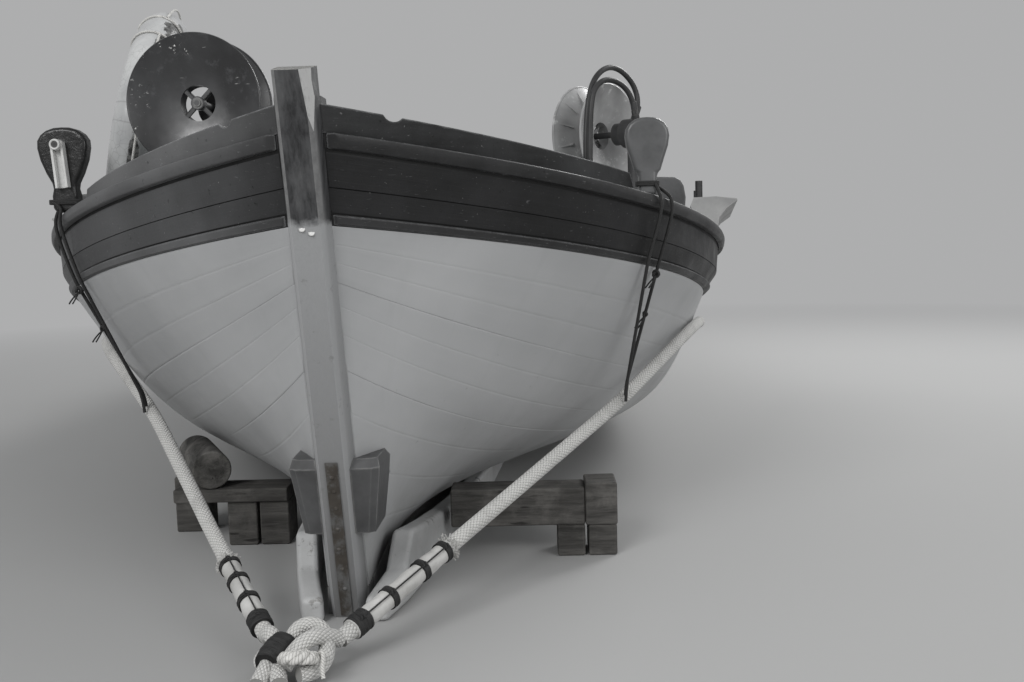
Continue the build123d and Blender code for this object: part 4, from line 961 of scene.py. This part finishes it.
def plank_ring(station, steps, side, dark):
    ring = []
    for n, (g, mark) in enumerate(steps):
        at_end = n in (0, len(steps) - 1)
        depth = sunk_by(mark, at_end, dark)
        if not at_end:
            depth += PLANK_WAVE * value_noise.noise(Vector((station.base * 2.3, g * 6.0, side * 3.0)))
        ring.append(station.place(g, max(depth, -MOST_PROUD), side))
    return ring + [station.place(g, PLANK, side) for g, _ in reversed(steps)]


def plank_mesh(name, low, high, seams, side):
    steps = girth_steps(low, high, seams)
    rings = [plank_ring(station, steps, side, high <= 2.0) for station in STATIONS]
    marks = [[mark for _, mark in steps] + [0.0] * len(steps)] * len(rings)
    girth = [0.0]
    middle = rings[len(rings) // 2]
    for a, b in zip(middle, middle[1:]):
        girth.append(girth[-1] + (b - a).length)
    girth.append(girth[-1] + PLANK)
    return grid_mesh(name, rings, True, True, lambda i, j: (STATION_BASES[i], girth[j]), marks)


for side_name, side in SIDES.items():
    for band, (low, high, finish, slot, seams) in BANDS.items():
        skin = f"{band}_{side_name}_skin"
        mesh = plank_mesh(skin, low, high, seams, side)
        smooth_by_angle(mesh, 50.0)
        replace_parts(add_object(skin, mesh, "boat", FINISH[finish]), f"{band}_{side_name}")

# Pieces that keep their solid's form, with softened edges: node, finish, record slot, edge radius
DRESSED = [
    ("rubbing_rails", "rails", "dark_paint", 0.004),
    ("lower_mouldings", "rails", "dark_paint", 0.002),
    ("bulwarks", "wash_boards", "dark_paint", 0.003),
    ("cheek_blocks", "cheeks", "dark_paint", 0.010),
    ("inner_stem", "wood_up", "deck_paint", 0.003),
    ("keel", "pale_parts", "pale_paint", 0.004),
    ("keelson", "wood_long", "deck_paint", 0.003),
    ("skid_runners", "skids", "bare_wood", 0.014),
    ("stern_post", "pale_parts", "pale_paint", 0.005),
    ("transom", "pale_parts", "pale_paint", 0.004),
    ("stem_iron_band", "iron", "iron", 0.001),
    ("inwales", "deck_paint", "deck_paint", 0.003),
    ("frames", "inner_planks", "deck_paint", 0.002),
    ("risings", "inner_planks", "deck_paint", 0.002),
    ("thwarts", "wood_cross", "bare_wood", 0.004),
    ("floorboards", "wood_long", "bare_wood", 0.002),
    ("foredeck", "deck_paint", "deck_paint", 0.002),
    ("fore_bulkhead", "deck_paint", "deck_paint", 0.002),
    ("rowlock_chocks", "chock", "deck_paint", 0.006),
    ("rail_blocks", "cheeks", "deck_paint", 0.006),
    ("thole_pins", "motor", "bare_wood", 0.002),
    ("timber_blocks", "wood_cross", "bare_wood", 0.006),
    ("bilge_log", "log", "bare_wood", 0.006),
    ("horn_strap", "strap", "iron", 0.0015),
    ("hauler_stand_port", "motor", "wheel_metal", 0.002),
    ("hauler_stand_starboard", "motor", "wheel_metal", 0.002),
]
for node, finish, slot, bevel in DRESSED:
    dress(node, FINISH[finish], bevel)


def dress_horns():
    """Two posts in one node; the starboard one is painted black."""
    horns = dress("horn_posts", FINISH["horn_port"], 0.012, segments=4)
    horns.data.materials.append(FINISH["horn_starboard"])
    for face in horns.data.polygons:
        if face.center.x < 0:
            face.material_index = 1


STEM_DEPTH = 0.052
FACET_TOP = 1.305
FACET_FOOT = 1.155


def dress_stem():
    """One corner of the stem's head is worn away in a long slanting facet."""
    stem = dress("stem_post", FINISH["stem"], 0.006, segments=3)
    front_high, front_low = (-STEM_RAKE * z - STEM_DEPTH for z in (FACET_TOP, FACET_FOOT))
    top = Vector((0.020, front_high, FACET_TOP))
    foot = Vector((0.036, front_low, FACET_FOOT))
    back = Vector((0.044, front_high + 0.040, FACET_TOP))
    way = (foot - top).cross(back - top).normalized()
    if way.x < 0:
        way = -way
    bm = bmesh.new()
    bm.from_mesh(stem.data)
    worn = bm.faces.layers.float.new("worn")
    everything = bm.verts[:] + bm.edges[:] + bm.faces[:]
    bmesh.ops.bisect_plane(bm, geom=everything, plane_co=top, plane_no=way, clear_outer=True)
    rims = [edge for edge in bm.edges if len(edge.link_faces) == 1]
    for face in bmesh.ops.edgeloop_fill(bm, edges=rims)["faces"]:
        face[worn] = 1.0
        face.smooth = False
    bm.normal_update()
    bm.to_mesh(stem.data)
    bm.free()


dress_horns()
dress_stem()

# Shapes made from rings and cords


def ring_of_points(centre, way, radius, around, start=None):
    way = way.normalized()
    a = (start or (Vector((0, 0, 1)) if abs(way.z) < 0.9 else Vector((1, 0, 0)))).copy()
    a = (a - way * a.dot(way)).normalized()
    b = way.cross(a)
    turns = (2 * math.pi * j / around for j in range(around))
    return [centre + (a * math.cos(t) + b * math.sin(t)) * radius for t in turns]


def turned(profile, place, around=96, closed=False):
    """Rings of a shape turned round the local Z axis; profile holds (radius, height)."""
    turns = [2 * math.pi * j / around for j in range(around)]
    rings = []
    for radius, height in profile:
        rings.append([place @ Vector((radius * math.cos(t), radius * math.sin(t), height)) for t in turns])
    if closed:
        rings.append(rings[0])
    return grid_mesh("turned", rings, True, not closed, lambda i, j: (i * 0.01, j / around))


def box_mesh(low, high, place):
    (x0, y0, z0), (x1, y1, z1) = low, high
    corners = ((x0, y0), (x1, y0), (x1, y1), (x0, y1))
    rings = [[place @ Vector((x, y, z)) for x, y in corners] for z in (z0, z1)]
    mesh = grid_mesh("block", rings, True, True, lambda i, j: (i * 0.01, j * 0.25))
    smooth_by_angle(mesh, 20.0)
    return mesh


def joined(name, meshes, angle=40.0):
    bm = bmesh.new()
    for mesh in meshes:
        bm.from_mesh(mesh)
    bmesh.ops.remove_doubles(bm, verts=bm.verts, dist=0.00001)
    bmesh.ops.recalc_face_normals(bm, faces=bm.faces)
    whole = bpy.data.meshes.new(name)
    bm.to_mesh(whole)
    bm.free()
    for mesh in meshes:
        bpy.data.meshes.remove(mesh)
    smooth_by_angle(whole, angle)
    return whole


def piece(name, meshes, body, finish, stands_for=None, angle=40.0):
    obj = add_object(name, joined(name, meshes, angle), body, FINISH[finish])
    if stands_for:
        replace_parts(obj, stands_for)
    return obj


def smooth_run(points, parts):
    # points of a smooth curve through the given ones
    last = len(points) - 1
    out = []
    for i in range(last):
        p0, p1, p2, p3 = (Vector(points[max(0, min(k, last))]) for k in (i - 1, i, i + 1, i + 2))
        for k in range(parts):
            t = k / parts
            bend = (2 * p0 - 5 * p1 + 4 * p2 - p3) * t * t + (3 * p1 - p0 - 3 * p2 + p3) * t**3
            out.append(0.5 * (2 * p1 + (p2 - p0) * t + bend))
    return out + [Vector(points[-1])]


def cord_mesh(name, points, radius, around=10, step=0.006):
    line = resampled(spline_points([tuple(p) for p in points], name, 10), step)
    return tube_mesh(name, line, radius, around)


def turn_about(degrees, axis):
    return Matrix.Rotation(math.radians(degrees), 4, axis)


# Hauling wheels: two hollow plates back to back, ribs in the rope groove, hub on four spokes
WHEEL_RIM = 0.185
WHEEL_EYE = 0.050
BEAD = 0.005
PLATE = 0.007
# Points of a plate's outer face: along the axle, and out from it
DISH = [
    (0.023, WHEEL_EYE), (0.027, 0.080), (0.035, 0.112), (0.046, 0.144), (0.056, 0.168), (0.064, WHEEL_RIM),
]
THROAT = 0.023
SPOKES_AT = -0.016
RIBS = 12
RIB_HALF = 0.0025
RIB_OUTLINE = ((0.112, 0.031), (0.168, 0.052), (0.168, 0.048), (0.120, 0.022), (0.112, 0.024))
HUB = [(0.0116, -0.013), (0.018, -0.013), (0.019, -0.012), (0.019, 0.013), (0.0116, 0.013)]
WASHER = [(0.0105, -0.034), (0.0105, -0.030), (0.016, -0.030), (0.016, -0.0292)]


def wheel_meshes(place):
    out = []
    face = [(p.x, p.y) for p in smooth_run([(a, r, 0.0) for a, r in DISH], 5)]
    for sign in (1, -1):
        outer = [(r, sign * a) for a, r in face]
        inner = [(r, sign * (a - PLATE)) for a, r in reversed(face)]
        middle = sign * (DISH[-1][0] - PLATE / 2)
        turns = [math.pi * k / 8 for k in range(1, 8)]
        bead = [(WHEEL_RIM + BEAD * math.sin(t), middle + sign * BEAD * math.cos(t)) for t in turns]
        out.append(turned(outer + bead + inner, place, 128, True))
        for k in range(RIBS):
            turn = place @ turn_about(360.0 * (k + 0.5) / RIBS, "Z")
            rib = [[turn @ Vector((r, y, sign * a)) for r, a in RIB_OUTLINE] for y in (-RIB_HALF, RIB_HALF)]
            out.append(grid_mesh("rib", rib, True, True))
    tube = [(0.056, -THROAT), (0.056, THROAT), (WHEEL_EYE, THROAT), (WHEEL_EYE, -THROAT)]
    out.append(turned(tube, place, 64, True))
    out.append(turned([(r, SPOKES_AT + h) for r, h in HUB], place, 40, True))
    low, high, ridge = (SPOKES_AT + h for h in (-0.0045, 0.0045, 0.012))
    for k in range(4):
        turn = place @ turn_about(45 + 90 * k, "Z")
        out.append(box_mesh((0.017, -0.006, low), (0.051, 0.006, high), turn))
        out.append(box_mesh((0.017, 0.003, low), (0.051, 0.006, ridge), turn))
    return out


for side_name, (x, y, z, turn) in (("starboard", FORE_WHEEL), ("port", AFT_WHEEL)):
    place = Matrix.Translation((x, y, z)) @ turn_about(-turn, "Z") @ turn_about(-90, "X")
    node, body = f"hauler_wheel_{side_name}", f"wheel_{side_name}"
    piece(f"{node}_turned", wheel_meshes(place), body, body, node)
    piece(f"axle_washer_{side_name}", [turned(WASHER, place, 32)], "boat", "cheeks")

# Lifebuoy, with cord bands and a grab line
BUOY_RING = 0.306
BUOY_TUBE = 0.066
BUOY_X = -0.738
BUOY_Y = 0.860
BUOY_TURN = 12.0
BUOY_LEAN = 13.5
BUOY_STEP = 2.0
TUBE_STEP = 7.5
COVER_IN = 0.0010
SWELL = 0.0018
PINCH = 0.0022
PINCH_REACH = 2.4
BAND_RADIUS = 0.0032
GRAB_RADIUS = 0.0035
GRAB_SLACK = 0.020
buoy_low, buoy_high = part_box("lifebuoy")
buoy_centre = Matrix.Translation((BUOY_X, BUOY_Y, (buoy_low[2] + buoy_high[2]) / 2))
buoy_place = buoy_centre @ turn_about(BUOY_TURN, "Z") @ turn_about(90 + BUOY_LEAN, "Y")


def on_buoy(turn, tube, size=BUOY_TUBE):
    a, b = math.radians(turn), math.radians(tube)
    r = BUOY_RING + size * math.cos(b)
    return buoy_place @ Vector((r * math.cos(a), r * math.sin(a), size * math.sin(b)))


def cover_point(i, j):
    # a point of the cover, with a little unevenness, pinched under the cord bands
    turn, tube = i * BUOY_STEP, j * TUBE_STEP
    around = j * 0.131
    spot = Vector((i % 180 * 0.16, math.cos(around) * 1.4, math.sin(around) * 1.4))
    near_band = min(abs(turn - band) for band in BANDS_AT)
    pinch = PINCH * max(0.0, 1 - near_band / PINCH_REACH)
    return on_buoy(turn, tube, BUOY_TUBE - COVER_IN + value_noise.noise(spot) * SWELL - pinch)


def build_lifebuoy():
    """The cover, its cord bands, and a grab line in a slack bow wherever two bands lie far apart."""
    rings = [[cover_point(i, j) for j in range(48)] for i in range(181)]
    mesh = grid_mesh("lifebuoy_cover", rings, True, False, lambda i, j: (i * BUOY_STEP, j * TUBE_STEP))
    bm = bmesh.new()
    bm.from_mesh(mesh)
    bmesh.ops.remove_doubles(bm, verts=bm.verts, dist=0.00001)
    bm.to_mesh(mesh)
    bm.free()
    buoy = add_object("lifebuoy_cover", mesh, "boat", FINISH["buoy"])
    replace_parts(buoy, "lifebuoy")
    lines = []
    for turn in BANDS_AT:
        loop = [on_buoy(turn, t, BUOY_TUBE + 0.0015) for t in range(0, 375, 15)]
        lines.append(cord_mesh("band", loop, BAND_RADIUS, 8))
    for turn, following in zip(BANDS_AT, BANDS_AT[1:] + BANDS_AT[:1]):
        reach = (following - turn) % 360
        if reach > 40:
            heights = [BUOY_TUBE + 0.003 + GRAB_SLACK * math.sin(math.pi * q / 8) for q in range(9)]
            slack = [on_buoy(turn + reach * q / 8, 12, height) for q, height in enumerate(heights)]
            lines.append(cord_mesh("grab_line", slack, GRAB_RADIUS, 8))
    piece("lifebuoy_lines", lines, "boat", "strand")


build_lifebuoy()

# Bridle: rope, sleeves, whippings, marline, frayed ends and the knot at the bow
SLEEVE = 0.0240
WOUND = 0.0262
TOWARD_EYE = Vector((0.25, -0.75, 0.6))
# for each leg: its ends, where its sleeve starts and ends, and where its whippings sit, as shares of it
LEGS = [
    (LASH_PORT, KNOT_PORT, 0.68, 0.97, (0.70, 0.77, 0.865, 0.95)),
    (KNEE_STARBOARD, KNOT_STARBOARD, 0.23, 0.92, (0.27, 0.45, 0.66, 0.88)),
]
FIBRES = 70
FIBRE_RADIUS = 0.0016
WHIPPING_HALF = 0.009
LAST_WHIPPING_HALF = 0.022
SLEEVE_STEP = 0.004
MARLINE = 0.0020
MARLINE_KNOT = 0.0026
MARLINE_TAIL = 0.0018
KNOT_ROPE = 0.0185
STRAND = 0.0080
chance = random.Random(5)


def run(a, b, first, last, count):
    # evenly spaced points between two shares of the way from a to b
    shares = (first + (last - first) * k / count for k in range(count + 1))
    return [Vector(a) + (Vector(b) - Vector(a)) * share for share in shares]


def sleeve_relief(u, v):
    # folds of the sleeve; u runs along it in metres and v once round
    turn = 6.283 * v
    spot = Vector((u * 30, math.cos(turn) * 2, math.sin(turn) * 2))
    return 0.0008 * math.sin(u * 90) + 0.0012 * value_noise.noise(spot)


def wound_relief(u, v):
    # turns of a whipping
    turns = abs(math.sin(u * math.pi / 0.0046 + v * 2.5))
    return 0.0015 * turns + 0.0014 * value_noise.noise(Vector((u * 160, v * 9, 0.0)))


def fibre(start, way, facing):
    # one frayed yarn where the sleeve starts
    turn = Matrix.Rotation(chance.uniform(0, 2 * math.pi), 3, way)
    side_way = ring_of_points(Vector(), way, 1.0, 1, turn @ facing)[0]
    root = start + side_way * 0.019 + way * chance.uniform(0.0, 0.010)
    tip = root + side_way * chance.uniform(0.008, 0.018) - way * chance.uniform(-0.004, 0.016)
    bend = (root + tip) / 2 + way * chance.uniform(-0.004, 0.004)
    return tube_mesh("fibre", [root, bend, tip], FIBRE_RADIUS, 5)


def marline_knot(at, way, facing):
    # a small knot in the marline and its tail
    across = way.cross(facing)
    curl = []
    for q in range(7):
        swing = across * 0.005 * math.cos(q * 1.7) + facing * 0.004 * math.sin(q * 1.7)
        curl.append(at + swing + way * 0.0022 * (q - 3))
    tail = [at, at + across * 0.012 + way * 0.006, at + across * 0.022 + way * 0.004 - facing * 0.003]
    knot = cord_mesh("marline_knot", curl, MARLINE_KNOT, 8, 0.003)
    return [knot, cord_mesh("marline_tail", tail, MARLINE_TAIL, 6, 0.003)]


def dress_leg(a, b, first, last, places):
    """Sleeve, whippings, marline and frayed yarns of one leg."""
    whole = Vector(b) - Vector(a)
    length, way = whole.length, whole.normalized()
    facing = (TOWARD_EYE - way * TOWARD_EYE.dot(way)).normalized()
    line = run(a, b, first, last, int((last - first) * length / SLEEVE_STEP))
    sleeve = tube_mesh("sleeve", line, SLEEVE, 24, sleeve_relief)
    whippings, marline = [], []
    for n, share in enumerate(places):
        half = (LAST_WHIPPING_HALF if share == places[-1] else WHIPPING_HALF) / length
        line = run(a, b, share - half, share + half, 24)
        whippings.append(tube_mesh("whipping", line, WOUND, 24, wound_relief))
        marline += marline_knot(line[12] + facing * (WOUND + 0.002), way, facing)
        if share != places[-1]:
            between = [p + facing * (SLEEVE + 0.0035) for p in run(a, b, share, places[n + 1], 4)]
            marline.append(cord_mesh("marline", between, MARLINE, 6, 0.006))
    start = Vector(a) + whole * first
    return sleeve, whippings, marline, [fibre(start, way, facing) for _ in range(FIBRES)]


# The knot: an arch, a doubled part, a side loop, and an eye splice of loose strands with a black seizing
KNOT_PARTS = [
    [(-0.070, -0.408, 0.058), (-0.062, -0.382, 0.086), (-0.034, -0.366, 0.100), (0.000, -0.372, 0.092),
     (0.018, -0.402, 0.064), (0.016, -0.442, 0.038), (-0.004, -0.474, 0.030), (-0.030, -0.492, 0.032)],
    [KNOT_PORT, (0.016, -0.398, 0.084), (-0.016, -0.432, 0.092), (-0.044, -0.462, 0.074),
     (-0.062, -0.486, 0.048)],
    [KNOT_STARBOARD, (-0.128, -0.356, 0.078), (-0.110, -0.384, 0.082), (-0.094, -0.412, 0.066),
     (-0.098, -0.446, 0.052), (-0.112, -0.520, 0.024)],
    [(-0.100, -0.372, 0.040), (-0.128, -0.380, 0.036), (-0.132, -0.410, 0.030), (-0.114, -0.436, 0.034),
     (-0.084, -0.452, 0.044), (-0.066, -0.520, 0.024)],
]
SEIZING = ((-0.078, -0.398, 0.068), (-0.102, -0.470, 0.046))
SPLICE_TAIL = [
    (0.012, -0.470, 0.070), (0.020, -0.478, 0.084), (0.024, -0.490, 0.066), (0.022, -0.500, 0.046),
    (0.026, -0.508, 0.030),
]


def eye_strand(number):
    # one of three strands laid round the eye
    loop = []
    for q in range(31):
        t = 2 * math.pi * q / 30
        lay = 3 * t + 2.094 * number
        r = 0.030 + 0.0095 * math.cos(lay)
        height = 0.066 + 0.0075 * math.sin(lay) - 0.012 * math.sin(t)
        loop.append((-0.030 + r * math.cos(t), -0.482 + r * math.sin(t), height))
    return cord_mesh("eye_strand", loop, STRAND, 10, 0.003)


def tuck(number):
    # a strand tucked under the rope beside the eye
    x, y = -0.046 + 0.006 * number, -0.470 - 0.005 * (number % 3)
    points = [(x - 0.012, y + 0.012, 0.070), (x, y, 0.084 - 0.002 * number), (x + 0.010, y - 0.014, 0.070)]
    return cord_mesh("tuck", points, 0.0065, 8, 0.003)


def seizing_radius(u):
    # fullest halfway along
    return 0.034 - 3.0 * (u - 0.038) ** 2


def build_bridle():
    rope_mesh = tube_mesh("hauling_bridle_rope", bridle_line, ROPE, 20)
    bridle = add_object("hauling_bridle_rope", rope_mesh, "boat", FINISH["rope"])
    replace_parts(bridle, "hauling_bridle")
    sleeves, whippings, marline, fibres = [], [], [], []
    for leg in LEGS:
        sleeve, *rest = dress_leg(*leg)
        sleeves.append(sleeve)
        for whole, part in zip((whippings, marline, fibres), rest):
            whole += part
    knots = [cord_mesh("knot_part", part, KNOT_ROPE, 20, 0.004) for part in KNOT_PARTS]
    splice = [eye_strand(k) for k in range(3)] + [tuck(k) for k in range(7)]
    splice.append(cord_mesh("splice_tail", SPLICE_TAIL, 0.0045, 8, 0.003))
    whippings.append(tube_mesh("seizing", run(*SEIZING, 0, 1, 40), seizing_radius, 32, wound_relief))
    piece("bridle_sleeves", sleeves + fibres, "boat", "sleeve", "bridle_splices")
    piece("bridle_whippings", whippings + marline, "boat", "twine", "bridle_seizings")
    piece("bridle_knot_ropes", knots, "boat", "rope", "bridle_knot")
    piece("bridle_eye_splice", splice, "boat", "strand")


build_bridle()

# Lashings of the horn posts
TURN_RADIUS = 0.0034
CORNER_ROOM = 0.004
CORNER_BEND = 0.15
# Knots: share of the way down a cord, and size
KNOTS_AT = ((0.10, 0.010), (0.42, 0.006))


def horn_turn(centre, half, z):
    # one turn of cord round a horn post, with tight corners
    out, deep = half + CORNER_ROOM, HORN_THICK / 2 + CORNER_ROOM
    corners = [(out, deep), (-out, deep), (-out, -deep), (out, -deep)]
    path = []
    for n, (cx, cy) in enumerate(corners):
        for px, py in (corners[n - 1], (cx, cy), corners[(n + 1) % 4]):
            path.append((centre + cx + (px - cx) * CORNER_BEND, HORN_Y + cy + (py - cy) * CORNER_BEND, z))
    return cord_mesh("horn_turn", path + path[:1], TURN_RADIUS, 8, 0.005)


def lashing_knot(at, size):
    # a knot with two loose tails
    curl = []
    for q in range(9):
        x, z = size * math.cos(q * 1.3), size * math.sin(q * 1.3) + 0.001 * q
        curl.append(at + Vector((x, 0.6 * size * math.sin(q * 2.1), z)))
    out = [cord_mesh("lashing_knot", curl, 0.0042, 8, 0.003)]
    for q in range(2):
        middle = Vector((-0.010 - 0.012 * q, -0.004, -0.020))
        end = Vector((-0.022 - 0.010 * q, -0.002, -0.036))
        out.append(cord_mesh("lashing_tail", [at, at + middle, at + end], 0.0024, 6, 0.004))
    return out


def build_lashings():
    cords = [tube_mesh("lashing", line, CORD, 12) for line in cord_lines]
    for side_name, side in SIDES.items():
        above, half = TURNS[side_name]
        foot = HORN_FOOT + above - 0.004
        cords += [horn_turn(side * HORN_X[side_name], half, foot + 0.004 * turn) for turn in range(3)]
        mould, low = (Vector(p) for p in lashing_ends(side_name, 1.0))
        for share, size in KNOTS_AT:
            cords += lashing_knot(mould + (low - mould) * share - Vector((0, 0.014, 0)), size)
    piece("lashing_cords", cords, "boat", "twine", "lashings")


build_lashings()

# Hoses, each with a fitting: where a ring of it starts and ends, its radius and its sides
FITTING = [(0.0, 0.016, 0.0125, 6), (0.018, 0.046, 0.0118, 24)]


def build_hose(name, points, line):
    path = resampled(line, 0.008)
    mesh = tube_mesh(f"hose_{name}", path, HOSE, 20)
    tube = add_object(f"hose_{name}", mesh, "boat", FINISH["hose"])
    tip, after = (Vector(from_axle(AFT_WHEEL, p)) for p in points[:2])
    way = (after - tip).normalized()
    parts = []
    for low, high, size, sides in FITTING:
        ends = [ring_of_points(tip + way * d, way, size, sides) for d in (low, high)]
        parts.append(grid_mesh("fitting", ends, True, True))
    fitting = piece(f"hose_fitting_{name}", parts, "boat", "motor", angle=35.0)
    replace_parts(tube, "hoses")


for (hose_name, hose_points), hose_line in zip(HOSES.items(), hose_lines):
    build_hose(hose_name, hose_points, hose_line)

# Nails of the iron band, screws in the stem, and the eye of the horn strap
NAILS_AT = (0.388, 0.351, 0.307, 0.250, 0.196, 0.140, 0.085)
NAIL = [(0.0052, -0.001), (0.0046, 0.0010), (0.0026, 0.0019), (0.0004, 0.0022)]
SCREWS_AT = ((-0.008, 0.978), (0.012, 0.969))
SCREW = [(0.0075, -0.001), (0.0068, 0.0012), (0.0040, 0.0006), (0.0004, 0.0016)]
BAND_THICK = 0.0043
STEM_LEAN = 73
EYE_HOLE = [(0.0105, 0.0), (0.0103, 0.0006), (0.0004, 0.0008)]


def on_stem(profile, x, z, out=0.0):
    place = Matrix.Translation((x, -STEM_RAKE * z - STEM_DEPTH - out, z)) @ turn_about(STEM_LEAN, "X")
    return turned(profile, place, 16)


nails = [on_stem(NAIL, 0.002 * math.sin(z * 90), z, BAND_THICK) for z in NAILS_AT]
piece("band_nails", nails, "boat", "iron")
piece("stem_screws", [on_stem(SCREW, x, z) for x, z in SCREWS_AT], "boat", "strap")

strap_foot = Matrix.Translation((-HORN_X["starboard"] + 0.008, HORN_Y - HORN_THICK / 2 - 0.0003, HORN_FOOT))
strap_eye = strap_foot @ turn_about(-4, "Y") @ Matrix.Translation((0, -0.0302, 0.192)) @ turn_about(90, "X")
eye_turns = (2 * math.pi * k / 12 for k in range(12))
eye_wire = [(0.0125 + 0.0032 * math.cos(t), 0.0005 + 0.0032 * math.sin(t)) for t in eye_turns]
piece("strap_eye", [turned(eye_wire, strap_eye, 40, True)], "boat", "strap")
piece("strap_eye_hole", [turned(EYE_HOLE, strap_eye, 32)], "boat", "motor")

# The stage: a plain pale floor, a pale backdrop and three lamps
FLOOR_TONE = (0.36, 0.36, 0.357)
BACK_TONE = (0.42, 0.422, 0.425)
SKY_TONE = (0.78, 0.79, 0.80)
SKY_STRENGTH = 0.62
FLOOR_REACH = 60.0
LIT_WITHIN = 4.5
PLAIN_BEYOND = 11.0
LAMP_SIZE = (4.0, 3.0)


def floor_finish():
    # near the boat a lit floor; far out it turns into the plain backdrop, but not for the light it gives off
    f = Finish("floor")
    f.base = f.mix(f.noise(f.spot, 0.6), FLOOR_TONE, scaled(FLOOR_TONE, 1.04))
    f.finish(0.95)
    far = f.put("ShaderNodeVectorMath", {0: f.spot}, operation="LENGTH").outputs["Value"]
    path = f.put("ShaderNodeLightPath").outputs
    clear = f.math("MAXIMUM", path["Is Glossy Ray"], path["Is Transmission Ray"])
    seen = f.math("MAXIMUM", path["Is Camera Ray"], clear)
    share = f.times(f.span(far, LIT_WITHIN, PLAIN_BEYOND), seen)
    glow = f.put("ShaderNodeEmission", {"Color": BACK_TONE, "Strength": 1.0}).outputs[0]
    joint = f.put("ShaderNodeMixShader", {0: share, 1: f.shader.outputs[0], 2: glow}).outputs[0]
    f.tree.links.new(joint, f.tree.nodes["Material Output"].inputs["Surface"])
    return f.material


def build_floor():
    mesh = bpy.data.meshes.new("floor")
    corners = [(x * FLOOR_REACH, y * FLOOR_REACH, 0) for x, y in ((-1, -1), (1, -1), (1, 1), (-1, 1))]
    mesh.from_pydata(corners, [], [(0, 1, 2, 3)])
    mesh.materials.append(floor_finish())
    floor = bpy.data.objects.new("floor", mesh)
    bpy.context.scene.collection.objects.link(floor)


def build_world():
    # a soft sky that lights the boat; the camera sees the plain backdrop
    world = bpy.data.worlds.new("sky")
    bpy.context.scene.world = world
    world.use_nodes = True
    nodes, links = world.node_tree.nodes, world.node_tree.links
    lit = nodes["Background"]
    lit.inputs["Color"].default_value = (*SKY_TONE, 1.0)
    lit.inputs["Strength"].default_value = SKY_STRENGTH
    plain = nodes.new("ShaderNodeBackground")
    plain.inputs["Color"].default_value = (*BACK_TONE, 1.0)
    rays = nodes.new("ShaderNodeLightPath")
    either = nodes.new("ShaderNodeMixShader")
    seen = rays.outputs["Is Camera Ray"]
    for kind in ("Is Glossy Ray", "Is Transmission Ray"):
        larger = nodes.new("ShaderNodeMath")
        larger.operation = "MAXIMUM"
        links.new(seen, larger.inputs[0])
        links.new(rays.outputs[kind], larger.inputs[1])
        seen = larger.outputs[0]
    for number, source in enumerate((seen, lit.outputs[0], plain.outputs[0])):
        links.new(source, either.inputs[number])
    links.new(either.outputs[0], nodes["World Output"].inputs["Surface"])


def area_light(name, place, target, power):
    data = bpy.data.lights.new(name, "AREA")
    data.shape = "RECTANGLE"
    data.size, data.size_y = LAMP_SIZE
    data.energy = power
    lamp = bpy.data.objects.new(name, data)
    bpy.context.scene.collection.objects.link(lamp)
    lamp.location = place
    way = Vector(target) - Vector(place)
    lamp.rotation_euler = way.to_track_quat("-Z", "Y").to_euler()


build_floor()
build_world()
area_light("key", (-3.5, -6.5, 5.5), (0, 0.6, 0.6), 420.0)
area_light("fill", (5.5, -5.0, 3.0), (0, 0.6, 0.7), 170.0)
area_light("rim", (5.0, 6.5, 5.5), (0, 1.2, 1.0), 420.0)
